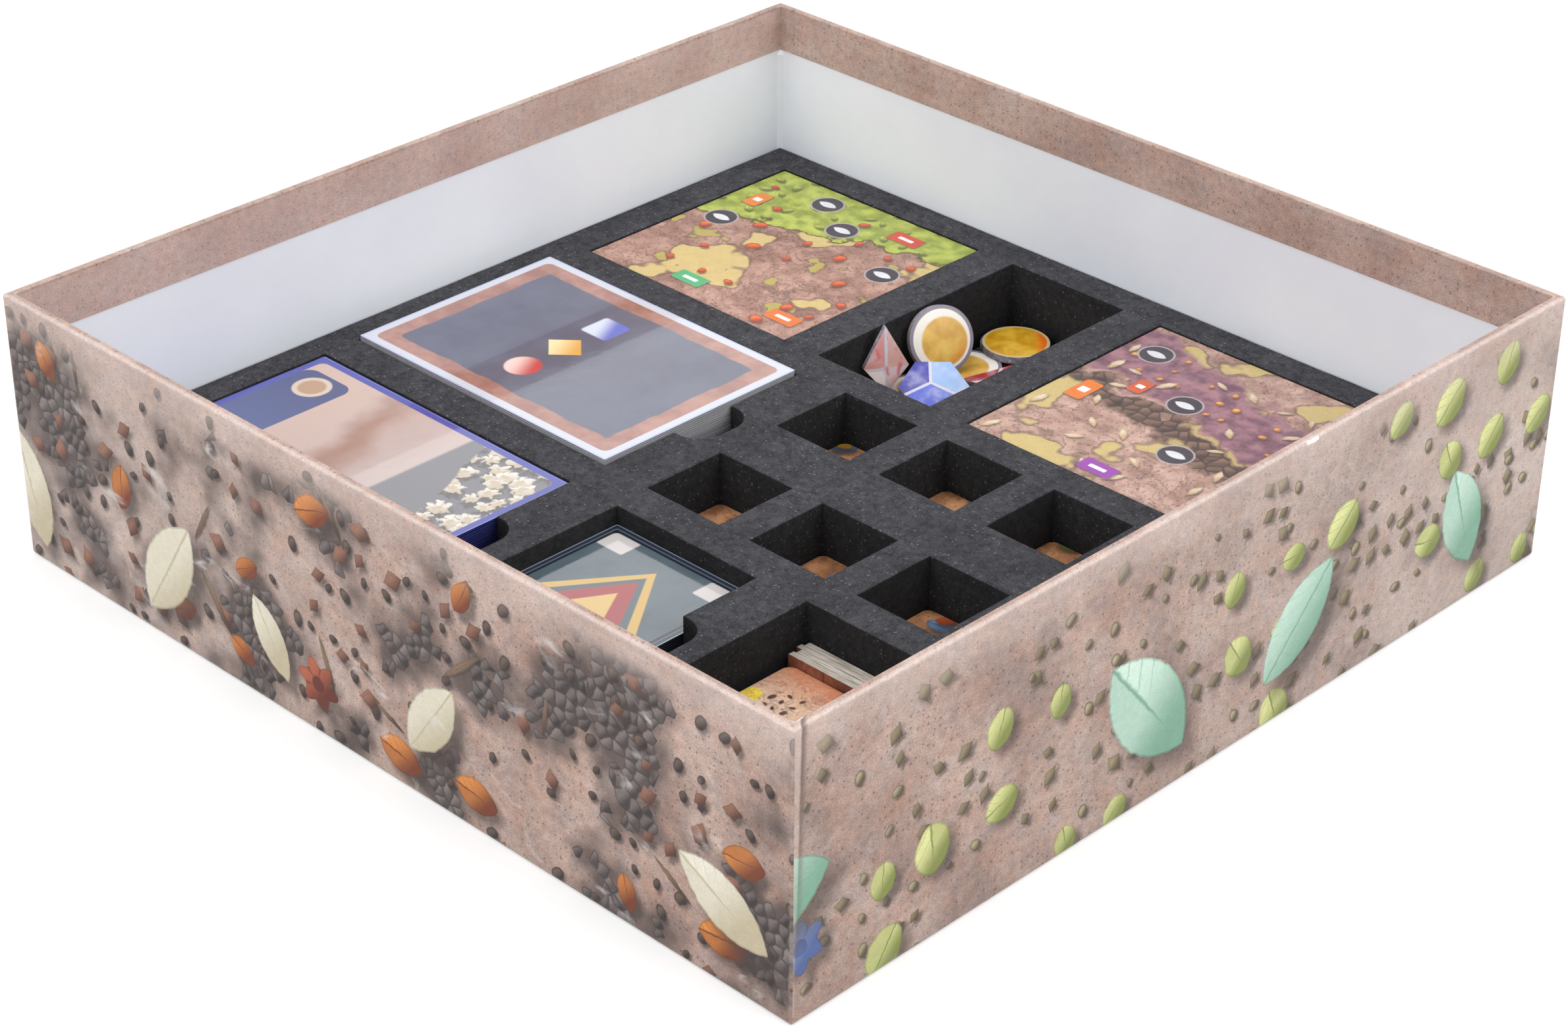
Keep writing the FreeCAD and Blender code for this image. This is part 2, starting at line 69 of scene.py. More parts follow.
# paper wrap and lining
PAPER = 0.15 * MM
RIM = 2.15 * MM
TURN_IN = 13.0 * MM
TURN_UNDER = 15.0 * MM
RIM_EDGE = 0.85 * MM
INNER_EDGE = 0.35 * MM
CORNER = 0.35 * MM
SHARPEST_CORNER = 0.02 * MM
WALL_STEP = 4.0 * MM
WALL_ROWS = 14
LAP_TOP = 2.1 * MM
LAP_FOOT = 0.7 * MM
LAP_EDGE = 0.06 * MM
LAP_STEP = 0.07 * MM
LAP_FADE = 30.0 * MM
SEAM_NOTCH = 0.22 * MM
NOTCH_PAST_LAP = 0.3 * MM
NOTCH_WIDTH = 0.4 * MM
PAPER_WAVE = 0.03 * MM
CORNER_DIP = 0.1 * MM
CORNER_DIP_WIDTH = 1.5 * MM
BOARD_SHRINK = 0.1 * MM
LINER_BRIDGE = 1.3 * MM

# waves in a metre of paper
WAVES_ALONG = 26
WAVES_UP = 30
RIM_WAVES = 34

# foam
POCKET_GAP = 0.3 * MM
TOKEN_POCKET_GAP = 0.8 * MM
SLAB_PLAY = 2.0 * MM
FINGER_WIDTH = 19.0 * MM
FINGER_DEPTH = 8.5 * MM
FINGER_CORNER = 7.0 * MM
FINGER_STEPS = 8
FOAM_EDGE = 0.5 * MM
FOAM_WOBBLE = 0.12 * MM
FOAM_WOBBLES = 160
FOAM_STEP = 2.5 * MM

# how many pieces lie in each stack
CARD_COUNTS = {"blue_card_deck": 33, "picture_card_deck": 36, "mini_card_deck": 26}
MAP_COUNT = 10
TILE_COUNT = 4
TILE_STACKS = 8
SLAB_COUNT = 4
STRIP_COUNT = 4
STRIP_STEP = 0.8 * MM
STRIP_SHIFTS = (1, 2, 0, 1)
STRIP_EASE = 0.02 * MM
COIN_COLUMNS, COIN_ROWS, COIN_LAYERS = 2, 4, 2

# die-cut outlines: the corner's radius and its points
CARD_CUT = {"corner": 0.4 * MM, "corner_steps": 2}
MAP_CUT = {"corner": 0.6 * MM, "corner_steps": 3}
TILE_CUT = {"corner": 2.0 * MM, "corner_steps": 5}
SLAB_CUT = {"corner": 2.5 * MM, "corner_steps": 5}
STRIP_CUT = {"corner": 0.5 * MM, "corner_steps": 2}
COIN_STEPS = 16
BOARD_EDGE = 0.14 * MM

# how far the pieces of a stack slip aside and turn
CARD_SKEW = {"slip": 0.1 * MM, "turn": math.radians(0.08)}
MAP_SKEW = {"slip": 0.1 * MM, "turn": math.radians(0.1)}
TILE_SKEW = {"slip": 0.12 * MM, "turn": math.radians(0.6)}
SLAB_SKEW = {"slip": 0.08 * MM, "turn": math.radians(0.1)}
COIN_TURN = math.radians(170)

# seeds of the stacks, the first one of each kind
CARD_SEED, MAP_SEED, TILE_SEED, SLAB_SEED, STRIP_SEED, COIN_SEED = 1, 11, 21, 40, 50, 60


# Node trees

class Web:
    """Fills a node tree: each call adds one node and gives the socket that comes out of it."""

    def __init__(self, tree):
        self.tree = tree

    def feed(self, socket, source):
        if isinstance(source, bpy.types.NodeSocket):
            self.tree.links.new(source, socket)
        else:
            socket.default_value = source

    def node(self, kind, inputs=None, **settings):
        node = self.tree.nodes.new(kind)
        for name, setting in settings.items():
            setattr(node, name, setting)
        for name, source in (inputs or {}).items():
            self.feed(node.inputs[name], source)
        return node

    def math(self, operation, *values):
        return self.node("ShaderNodeMath", dict(enumerate(values)), operation=operation).outputs[0]

    def vector(self, operation, *values):
        node = self.node("ShaderNodeVectorMath", dict(enumerate(values)), operation=operation)
        return node.outputs["Value" if operation in ("LENGTH", "DOT_PRODUCT") else "Vector"]

    def scaled(self, vector, factor):
        node = self.node("ShaderNodeVectorMath", {0: vector, "Scale": factor}, operation="SCALE")
        return node.outputs["Vector"]

    def shrunk(self, vector, size):
        """The vector counted in steps of a size."""
        return self.scaled(vector, self.math("DIVIDE", 1.0, size))

    def flat(self, vector):
        """The vector with no third coordinate."""
        return self.vector("MULTIPLY", vector, (1.0, 1.0, 0.0))

    def split(self, vector):
        """The first two coordinates."""
        node = self.node("ShaderNodeSeparateXYZ", {"Vector": vector})
        return node.outputs["X"], node.outputs["Y"]

    def join(self, x, y, z=0.0):
        return self.node("ShaderNodeCombineXYZ", {"X": x, "Y": y, "Z": z}).outputs[0]

    def both(self, *masks):
        """Product of several masks."""
        product = masks[0]
        for mask in masks[1:]:
            product = self.math("MULTIPLY", product, mask)
        return product

    def ramp(self, value, start, end, low=0.0, high=1.0):
        """Smooth step from low to high while value goes from start to end."""
        limits = {"Value": value, "From Min": start, "From Max": end, "To Min": low, "To Max": high}
        return self.node("ShaderNodeMapRange", limits, interpolation_type="SMOOTHSTEP").outputs["Result"]

    def mix(self, share, under, over, blend="MIX"):
        node = self.node("ShaderNodeMix", data_type="RGBA", blend_type=blend)
        for socket, source in zip((node.inputs[0], node.inputs[6], node.inputs[7]), (share, under, over)):
            self.feed(socket, source)
        return node.outputs[2]

    def noise(self, vector, size, detail=2.0, roughness=0.5, distortion=0.0):
        look = {"Vector": vector, "Scale": 1 / size, "Detail": detail, "Roughness": roughness,
                "Distortion": distortion}
        return self.node("ShaderNodeTexNoise", look).outputs["Fac"]

    def waver(self, vector, size, reach, detail=3.0):
        """Soft noise that goes up and down by half its reach."""
        return self.math("MULTIPLY_ADD", self.noise(vector, size, detail=detail), reach, -reach / 2)

    def stray(self, vector, size, reach):
        """The vector, moved a little aside by soft noise."""
        node = self.node("ShaderNodeTexNoise", {"Vector": vector, "Scale": 1 / size, "Detail": 2.0})
        aside = self.vector("SUBTRACT", node.outputs["Color"], (0.5, 0.5, 0.5))
        return self.vector("MULTIPLY_ADD", aside, (reach, reach, 0.0), vector)

    def cells(self, vector, size, looseness=1.0, **settings):
        """Voronoi cells of a given size with three dice for each."""
        look = {"Vector": vector, "Scale": 1 / size, "Randomness": looseness}
        node = self.node("ShaderNodeTexVoronoi", look, **settings)
        dice = self.node("ShaderNodeSeparateColor", {"Color": node.outputs["Color"]}).outputs
        return node.outputs, dice

    def cell_walls(self, vector, size):
        """Distance to the nearest wall between flat Voronoi cells."""
        look = {"Vector": vector, "Scale": 1 / size}
        settings = {"voronoi_dimensions": "2D", "feature": "DISTANCE_TO_EDGE"}
        return self.node("ShaderNodeTexVoronoi", look, **settings).outputs["Distance"]

    def group(self, group, **inputs):
        """A node group in place, with its inputs named in small letters."""
        node = self.node("ShaderNodeGroup", node_tree=group)
        for name, source in inputs.items():
            self.feed(node.inputs[name.replace("_", " ").title()], source)
        return node.outputs


def paint(red, green, blue):
    """A colour as it is read off a print, 0 to 255, in Blender's linear values."""
    def linear(level):
        share = level / 255
        return share / 12.92 if share <= 0.04045 else ((share + 0.055) / 1.055) ** 2.4
    return linear(red), linear(green), linear(blue), 1.0


SOCKETS = {"vector": "NodeSocketVector", "value": "NodeSocketFloat", "colour": "NodeSocketColor"}


def new_group(name, inputs, outputs):
    """Empty shader group; inputs and outputs are names with their kinds."""
    tree = bpy.data.node_groups.new(name, "ShaderNodeTree")
    for label, kind in inputs.items():
        tree.interface.new_socket(label, in_out="INPUT", socket_type=SOCKETS[kind])
    for label, kind in outputs.items():
        tree.interface.new_socket(label, in_out="OUTPUT", socket_type=SOCKETS[kind])
    web = Web(tree)
    given = web.node("NodeGroupInput").outputs
    result = web.node("NodeGroupOutput").inputs
    return web, given, result


# Effects that several finishes share

def make_mottle():
    """Two tones that run into each other in soft patches."""
    web, given, result = new_group(
        "Mottled Tone", {"Vector": "vector", "Patch": "value", "Dark": "colour", "Light": "colour"},
        {"Colour": "colour"})
    patches = web.noise(web.shrunk(given["Vector"], given["Patch"]), size=1.0, detail=4.0, roughness=0.55)
    share = web.ramp(patches, start=0.32, end=0.68)
    web.feed(result["Colour"], web.mix(share, given["Dark"], given["Light"]))
    return web.tree


def make_grit():
    """Fine printed grit: grains that make a colour lighter or darker, and dark specks."""
    web, given, result = new_group(
        "Printed Grit", {"Vector": "vector", "Colour": "colour", "Strength": "value", "Specks": "value"},
        {"Colour": "colour"})
    speck_tint, speck_strength = paint(148, 132, 128), 0.6
    coarse_share, mean, contrast = 0.5, 0.75, 4.0
    fine = web.noise(given["Vector"], size=0.42, detail=2.0, roughness=0.8)
    coarse = web.noise(given["Vector"], size=2.2, detail=2.0, roughness=0.6)
    grains = web.math("SUBTRACT", web.math("MULTIPLY_ADD", coarse, coarse_share, fine), mean)
    lift = web.math("MULTIPLY_ADD", grains, web.math("MULTIPLY", given["Strength"], contrast), 1.0)
    toned = web.mix(1.0, given["Colour"], web.join(lift, lift, lift), "MULTIPLY")
    places, dice = web.cells(given["Vector"], size=1.7, voronoi_dimensions="2D")
    spot = web.ramp(places["Distance"], start=0.24, end=0.1)
    speck = web.both(spot, web.math("LESS_THAN", dice["Red"], given["Specks"]), speck_strength)
    dark = web.mix(1.0, toned, speck_tint, "MULTIPLY")
    web.feed(result["Colour"], web.mix(speck, toned, dark))
    return web.tree


def make_scatter():
    """Places strewn over a surface.

    It gives the way from the nearest one, plain and turned by chance, and two dice for that place.
    """
    web, given, result = new_group(
        "Strewn Places", {"Vector": "vector", "Spacing": "value", "Looseness": "value", "Seed": "value"},
        {"Local": "vector", "Away": "vector", "Pick": "value", "Tone": "value"})
    seed_up = web.math("MULTIPLY", given["Seed"], 1.7)
    moved = web.vector("ADD", web.shrunk(given["Vector"], given["Spacing"]), web.join(given["Seed"], seed_up))
    places, dice = web.cells(moved, size=1.0, looseness=given["Looseness"], voronoi_dimensions="2D")
    away = web.scaled(web.vector("SUBTRACT", moved, places["Position"]), given["Spacing"])
    angle = web.math("MULTIPLY", dice["Red"], math.tau)
    turned = web.node("ShaderNodeVectorRotate", {"Vector": away, "Angle": angle}, rotation_type="Z_AXIS")
    web.feed(result["Local"], turned.outputs[0])
    web.feed(result["Away"], web.flat(away))
    web.feed(result["Pick"], dice["Green"])
    web.feed(result["Tone"], dice["Blue"])
    return web.tree


def make_rubble():
    """Heaped angular stones: where they lie, a tone for each, and the dark gaps between them."""
    web, given, result = new_group(
        "Heaped Stones", {"Vector": "vector", "Size": "value", "Patch": "value", "Level": "value"},
        {"Mask": "value", "Tone": "value", "Gap": "value"})
    spread = web.shrunk(given["Vector"], given["Size"])
    stones, dice = web.cells(spread, size=1.0, voronoi_dimensions="2D")
    middle = web.scaled(stones["Position"], web.math("DIVIDE", given["Size"], given["Patch"]))
    ragged, varied = 0.08, 0.5
    heap = web.math("MULTIPLY_ADD", dice["Green"], ragged, web.noise(middle, size=1.0, detail=3.0))
    web.feed(result["Mask"], web.math("GREATER_THAN", heap, given["Level"]))
    x, y = web.split(web.vector("SUBTRACT", spread, stones["Position"]))
    slope = web.ramp(web.math("SUBTRACT", x, y), start=-0.5, end=0.5, high=0.6)
    web.feed(result["Tone"], web.math("MULTIPLY_ADD", dice["Red"], varied, slope))
    web.feed(result["Gap"], web.ramp(web.cell_walls(spread, size=1.0), start=0.14, end=0.03))
    return web.tree


def new_shape(name):
    """Group for a motif along X: its two coordinates and its half length and half width.

    It puts out the distance from the motif's outline, negative inside, and its veins.
    """
    web, given, result = new_group(name, {"Local": "vector", "Length": "value", "Width": "value"},
                                   {"Distance": "value", "Vein": "value"})
    x, y = web.split(given["Local"])
    half_length = web.math("MULTIPLY", given["Length"], 0.5)
    half_width = web.math("MULTIPLY", given["Width"], 0.5)
    return web, x, y, half_length, half_width, result


def make_leaf():
    """Pointed leaf with a midrib, one half darker than the other."""
    web, x, y, a, b, result = new_shape("Leaf Shape")

    def of_width(share):
        return web.math("MULTIPLY", b, share)

    aside = web.math("ABSOLUTE", y)
    squares = web.math("ADD", web.math("MULTIPLY", a, a), web.math("MULTIPLY", b, b))
    radius = web.math("DIVIDE", squares, of_width(2.0))
    side = web.math("ADD", aside, web.math("SUBTRACT", radius, b))
    web.feed(result["Distance"], web.math("SUBTRACT", web.vector("LENGTH", web.join(x, side)), radius))
    rib = web.ramp(aside, of_width(0.12), 0.0)
    ribs = web.math("PINGPONG", web.math("SUBTRACT", x, aside), of_width(0.3))
    side_ribs = web.ramp(ribs, of_width(0.07), 0.0, high=0.5)
    dark_half = web.ramp(y, of_width(-0.1), of_width(0.1), high=0.45)
    web.feed(result["Vein"], web.math("MAXIMUM", web.math("MAXIMUM", rib, side_ribs), dark_half))
    return web.tree


def make_lozenge():
    """Four-cornered lozenge with a line inside its edge."""
    web, x, y, a, b, result = new_shape("Lozenge Shape")
    line_at, steepness = 0.6, 0.7
    along = web.math("DIVIDE", web.math("ABSOLUTE", x), a)
    across = web.math("DIVIDE", web.math("ABSOLUTE", y), b)
    reach = web.math("ADD", along, across)
    outside = web.math("SUBTRACT", reach, 1.0)
    web.feed(result["Distance"], web.math("MULTIPLY", outside, web.math("MULTIPLY", b, steepness)))
    from_line = web.math("ABSOLUTE", web.math("SUBTRACT", reach, line_at))
    web.feed(result["Vein"], web.ramp(from_line, start=0.1, end=0.02, high=0.5))
    return web.tree


def make_pebble():
    """Oval pebble, darker towards its edge."""
    web, x, y, a, b, result = new_shape("Pebble Shape")
    reach = web.vector("LENGTH", web.join(web.math("DIVIDE", x, a), web.math("DIVIDE", y, b)))
    web.feed(result["Distance"], web.math("MULTIPLY", web.math("SUBTRACT", reach, 1.0), b))
    web.feed(result["Vein"], web.ramp(reach, start=0.5, end=1.05, high=0.8))
    return web.tree


def make_rosette():
    """Flower of six petals round a darker heart."""
    web, x, y, a, b, result = new_shape("Rosette Shape")
    petal_count, petal_depth = 6.0, 0.16
    turn = web.math("MULTIPLY", web.math("ARCTAN2", y, x), petal_count)
    petals = web.math("MULTIPLY_ADD", web.math("COSINE", turn), petal_depth, 1.0 - petal_depth)
    reach = web.vector("LENGTH", web.join(x, y))
    web.feed(result["Distance"], web.math("SUBTRACT", reach, web.math("MULTIPLY", petals, a)))
    fold = web.ramp(web.math("COSINE", turn), start=-0.5, end=-1.0, high=0.7)
    heart = web.ramp(reach, web.math("MULTIPLY", b, 0.34), web.math("MULTIPLY", b, 0.28))
    web.feed(result["Vein"], web.math("MAXIMUM", fold, heart))
    return web.tree


def make_plate():
    """Rectangle with round corners; with a corner as large as its half sides it is a disc."""
    web, given, result = new_group(
        "Round Cornered Plate",
        {"Vector": "vector", "Middle": "vector", "Half Width": "value", "Half Depth": "value",
         "Corner": "value", "Softness": "value"}, {"Mask": "value"})
    x, y = web.split(web.vector("ABSOLUTE", web.vector("SUBTRACT", given["Vector"], given["Middle"])))
    over_x = web.math("ADD", web.math("SUBTRACT", x, given["Half Width"]), given["Corner"])
    over_y = web.math("ADD", web.math("SUBTRACT", y, given["Half Depth"]), given["Corner"])
    past_corner = web.join(web.math("MAXIMUM", over_x, 0.0), web.math("MAXIMUM", over_y, 0.0))
    flat_part = web.math("MINIMUM", web.math("MAXIMUM", over_x, over_y), 0.0)
    reach = web.math("ADD", web.vector("LENGTH", past_corner), flat_part)
    outside = web.math("SUBTRACT", reach, given["Corner"])
    inside = web.math("MULTIPLY", given["Softness"], -1.0)
    web.feed(result["Mask"], web.ramp(outside, given["Softness"], inside))
    return web.tree


def make_cells():
    """Open-cell foam: a tone for the cells, bright specks where a cell wall catches the light, and relief."""
    web, given, result = new_group("Open Cells", {"Vector": "vector"},
                                   {"Tone": "value", "Speck": "value", "Height": "value"})
    clump_tone, clump_height = 0.7, 0.8
    place = given["Vector"]
    fine = web.noise(place, size=0.42, detail=3.0, roughness=0.75)
    clumps = web.noise(place, size=1.9, detail=3.0, roughness=0.6)
    web.feed(result["Tone"], web.math("MULTIPLY_ADD", clumps, clump_tone, fine))
    specks, dice = web.cells(place, size=1.15)
    spot = web.ramp(specks["Distance"], start=0.3, end=0.12)
    web.feed(result["Speck"], web.both(spot, web.ramp(dice["Red"], start=0.6, end=0.0)))
    web.feed(result["Height"], web.math("MULTIPLY_ADD", clumps, clump_height, fine))
    return web.tree


def make_pulp():
    """Cut edge of greyboard: fibres in layers, pale flecks and dark splits."""
    web, given, result = new_group("Board Pulp", {"Vector": "vector"},
                                   {"Tone": "value", "Fleck": "value", "Split": "value", "Height": "value"})
    fleck_place = web.vector("ADD", given["Vector"], (31.0, 7.0, 3.0))
    split_place = web.vector("ADD", given["Vector"], (5.0, 43.0, 11.0))
    fibres = web.noise(given["Vector"], size=1.0, detail=5.0, roughness=0.65)
    flecks = web.noise(fleck_place, size=0.8, detail=2.0)
    splits = web.noise(split_place, size=1.3, detail=3.0)
    web.feed(result["Tone"], web.ramp(fibres, start=0.3, end=0.72))
    web.feed(result["Fleck"], web.ramp(flecks, start=0.66, end=0.74))
    web.feed(result["Split"], web.ramp(splits, start=0.4, end=0.3))
    web.feed(result["Height"], fibres)
    return web.tree


def make_crease_wear_and_highlight():
    """Broken pale line along a crease, from the distance to it, for wear and for painted highlights."""
    web, given, result = new_group(
        "Crease Wear And Highlight", {"Vector": "vector", "Distance": "value", "Width": "value"}, {"Mask": "value"})
    near = web.ramp(web.math("ABSOLUTE", given["Distance"]), given["Width"], 0.0)
    breaks = web.noise(given["Vector"], size=3.5, detail=5.0, roughness=0.7)
    broken = web.ramp(breaks, start=0.38, end=0.66, low=0.15)
    web.feed(result["Mask"], web.math("MULTIPLY", near, broken))
    return web.tree


def make_handled():
    """Gloss that handling has made uneven: a roughness, and the faint waviness of the film or laminate."""
    web, given, result = new_group(
        "Handled Gloss", {"Vector": "vector", "Smoothest": "value", "Roughest": "value"},
        {"Roughness": "value", "Height": "value"})
    smears = web.noise(given["Vector"], size=9.0, detail=4.0, roughness=0.6)
    roughness = web.ramp(smears, start=0.35, end=0.65, low=given["Smoothest"], high=given["Roughest"])
    web.feed(result["Roughness"], roughness)
    web.feed(result["Height"], web.noise(given["Vector"], size=3.0, detail=3.0))
    return web.tree


MOTTLE = make_mottle()
GRIT = make_grit()
SCATTER = make_scatter()
RUBBLE = make_rubble()
LEAF = make_leaf()
LOZENGE = make_lozenge()
PEBBLE = make_pebble()
ROSETTE = make_rosette()
PLATE = make_plate()
CELLS = make_cells()
PULP = make_pulp()
CREASE_WEAR_AND_HIGHLIGHT = make_crease_wear_and_highlight()
HANDLED = make_handled()


# Finishes

UNROLLED = "unrolled"
PRINT_UV = "print"
LAMINATE_WAVE = 0.04 * MM
FILM_ROUGHNESS = 0.04
PULP_RELIEF = 0.25 * MM
CELL_RELIEF = 0.3 * MM
FOAM_SHINE = 0.1

# A printed face: the roughness of its smoothest and roughest spots, the strength of its grit, the share of
# film above it, and how much it mirrors.
Surface = namedtuple("Surface", "smoothest roughest grit film shine", defaults=(0.05, 0.0, 0.5))
WRAP_PAPER = Surface(0.36, 0.52, grit=0.12, shine=0.25)
BOTTOM_PAPER = Surface(0.36, 0.55)
LINER_PAPER = Surface(0.62, 0.8, grit=0.012)
BOARD_PRINT = Surface(0.36, 0.52, grit=0.12)
TOKEN_PRINT = Surface(0.3, 0.46)
SLEEVE = Surface(0.08, 0.18, grit=0.015, film=1.0)
SLEEVE_SIDE = Surface(0.22, 0.42)


def new_material(name):
    """Material with a bare Principled BSDF, its node web and its shader node."""
    material = bpy.data.materials.new(name)
    material.use_nodes = True
    web = Web(material.node_tree)
    return material, web, material.node_tree.nodes["Principled BSDF"]


def middle_of(node):
    low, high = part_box(node)
    return (low + high) / 2


def half_of(node):
    """Half the width and depth of a node, in millimetres."""
    low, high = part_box(node)
    return (high - low) / 2 / MM


def on_piece(web, middle=(0.0, 0.0, 0.0)):
    """Millimetres on the piece, measured from a point of the frame."""
    place = web.node("ShaderNodeTexCoord").outputs["Object"]
    shift = tuple(-coordinate / MM for coordinate in middle)
    return web.vector("MULTIPLY_ADD", place, (1 / MM,) * 3, shift)


def on_map(web, name):
    """Millimetres on the piece's own flat map."""
    place = web.node("ShaderNodeUVMap", uv_map=name).outputs[0]
    return web.vector("MULTIPLY", place, (1 / MM, 1 / MM, 0.0))


def relief(web, shader, height, depth):
    """Bump of a real depth."""
    bump = web.node("ShaderNodeBump", {"Height": height, "Distance": depth})
    web.feed(shader.inputs["Normal"], bump.outputs[0])


def mottled(web, place, patch, dark, light):
    """Soft patches of two tones."""
    return web.group(MOTTLE, vector=place, patch=patch, dark=dark, light=light)["Colour"]


def gritty(web, place, colour, strength, specks=0.0):
    """A colour with printed grit."""
    return web.group(GRIT, vector=place, colour=colour, strength=strength, specks=specks)["Colour"]


def handle(web, shader, place, surface):
    """Makes a shader's gloss uneven, and gives the waviness that goes with it."""
    gloss = web.group(HANDLED, vector=place, smoothest=surface.smoothest, roughest=surface.roughest)
    web.feed(shader.inputs["Roughness"], gloss["Roughness"])
    return gloss["Height"]


class Print:
    """A face to print on, laid out in millimetres: each colour covers what was there before."""

    def __init__(self, web, place):
        self.web = web
        self.place = place
        self.colour = None

    def lay(self, colour, *masks):
        """A colour all over the face, or only where every mask is."""
        self.colour = self.web.mix(self.web.both(*masks), self.colour, colour) if masks else colour

    def surround(self, colour, inside):
        """A colour all round what lies inside a mask."""
        self.colour = self.web.mix(inside, colour, self.colour)

    def plate(self, x, y, half_width, half_depth, corner, softness=0.15, place=None):
        """Mask of a rectangle with round corners."""
        spot = self.place if place is None else place
        sizes = {"half_width": half_width, "half_depth": half_depth, "corner": corner}
        return self.web.group(PLATE, vector=spot, middle=(x, y, 0.0), softness=softness, **sizes)["Mask"]

    def inset(self, half, margin, corner, softness):
        """Mask of the face without a margin."""
        return self.plate(0.0, 0.0, half.x - margin, half.y - margin, corner, softness)

    def disc(self, x, y, radius, softness=0.15):
        return self.plate(x, y, radius, radius, radius, softness)

    def shape(self, form, x, y, length, width, place=None):
        """Mask of one motif at a place of its own."""
        spot = self.place if place is None else place
        local = self.web.flat(self.web.vector("SUBTRACT", spot, (x, y, 0.0)))
        distance = self.web.group(form, local=local, length=length, width=width)["Distance"]
        return self.web.ramp(distance, start=0.2, end=-0.2)

    def blob(self, x, y, radius):
        """Mask of a patch with an uneven outline."""
        uneven = self.web.waver(self.place, size=6.0, reach=radius)
        away = self.web.vector("LENGTH", self.web.flat(self.web.vector("SUBTRACT", self.place, (x, y, 0.0))))
        return self.web.ramp(self.web.math("ADD", away, uneven), start=radius + 0.4, end=radius - 0.4)

    def shaded(self, x, y, reach, pale, deep):
        """Tone that deepens across a small shape."""
        away = self.web.vector("SUBTRACT", self.place, (x, y, 0.0))
        across = self.web.vector("DOT_PRODUCT", away, (1.0, 0.5, 0.0))
        return self.web.mix(self.web.ramp(across, -reach, reach), pale, deep)

    def strew(self, motif, place=None, band=None):
        """One kind of motif all over the face."""
        self.colour = strewn(self.web, self.place if place is None else place, self.colour, motif, band)


def make_print(name, surface, painted, node=None, flat_map=None):
    """Printed and varnished face, with film above it where it lies in a sleeve.

    Its layout lies on a flat map, or starts from the middle of a node or from the frame's origin.
    """
    material, web, shader = new_material(name)
    if flat_map:
        face = Print(web, on_map(web, flat_map))
    else:
        face = Print(web, on_piece(web, middle_of(node)) if node else on_piece(web))
    painted(face)
    web.feed(shader.inputs["Base Color"], gritty(web, face.place, face.colour, surface.grit))
    waviness = handle(web, shader, face.place, surface)
    shader.inputs["Specular IOR Level"].default_value = surface.shine
    shader.inputs["Coat Weight"].default_value = surface.film
    shader.inputs["Coat Roughness"].default_value = FILM_ROUGHNESS
    relief(web, shader, waviness, LAMINATE_WAVE)
    return material


def make_board_finish(name, dark, light, stretch):
    """Raw greyboard; its fibres run along the axes with the smaller stretch."""
    material, web, shader = new_material(name)
    pulp = web.group(PULP, vector=web.vector("MULTIPLY", on_piece(web), stretch))
    fleck_tone, split_tone = paint(224, 217, 206), paint(84, 74, 64)
    colour = web.mix(pulp["Tone"], dark, light)
    colour = web.mix(web.both(pulp["Fleck"], 0.6), colour, fleck_tone)
    colour = web.mix(web.both(pulp["Split"], 0.7), colour, split_tone)
    web.feed(shader.inputs["Base Color"], colour)
    web.feed(shader.inputs["Roughness"], web.ramp(pulp["Tone"], 0.0, 1.0, low=0.95, high=0.8))
    relief(web, shader, pulp["Height"], PULP_RELIEF)
    return material


def make_foam_finish(name, dark, light, speck):
    """Charcoal open-cell foam with specks."""
    material, web, shader = new_material(name)
    place = on_piece(web)
    cells = web.group(CELLS, vector=place)
    broad = web.noise(place, size=16.0, detail=3.0)
    colour = web.mix(web.ramp(cells["Tone"], start=0.5, end=1.2), dark, light)
    colour = web.mix(web.ramp(broad, start=0.35, end=0.65, high=0.3), colour, dark)
    colour = web.mix(web.both(cells["Speck"], 0.42), colour, speck)
    web.feed(shader.inputs["Base Color"], colour)
    shader.inputs["Roughness"].default_value = 1.0
    shader.inputs["Specular IOR Level"].default_value = FOAM_SHINE
    relief(web, shader, cells["Height"], CELL_RELIEF)
    return material


def make_card_edge_finish(name, dark, light, card):
    """Side of a deck: one thin line of film for each sleeved card."""
    material, web, shader = new_material(name)
    place = on_piece(web)
    up = web.node("ShaderNodeSeparateXYZ", {"Vector": place}).outputs["Z"]
    layer = web.math("FRACT", web.math("DIVIDE", up, card / MM))
    along = web.vector("MULTIPLY", place, (0.05, 0.05, 1.0))
    uneven = web.noise(along, size=0.5, detail=3.0)
    line = web.ramp(web.math("ABSOLUTE", web.math("SUBTRACT", layer, 0.5)), start=0.2, end=0.5)
    web.feed(shader.inputs["Base Color"], web.mix(web.both(line, uneven), dark, light))
    handle(web, shader, place, SLEEVE_SIDE)
    return material


# Printed motifs, in millimetres

SHADOW = paint(62, 51, 49)
SHADOW_DEPTH = 0.7
SHADOW_REACH = 0.21
LINE = 0.16
EDGE_LINE = 4 * LINE
EDGE_DEPTH = 0.35
SMALLEST = 0.62
TONE_SPREAD = 0.3
LOOSE = 0.45
LARGE_MOTIF = 20.0

# One kind of motif: its form and sizes, the share of places that hold one, the seed, its light and dark tone.
# The gate is the size and the two levels of a noise that has to rise before a motif shows.
Motif = namedtuple(
    "Motif", "form spacing length width share seed pale deep gate looseness", defaults=(None, LOOSE))


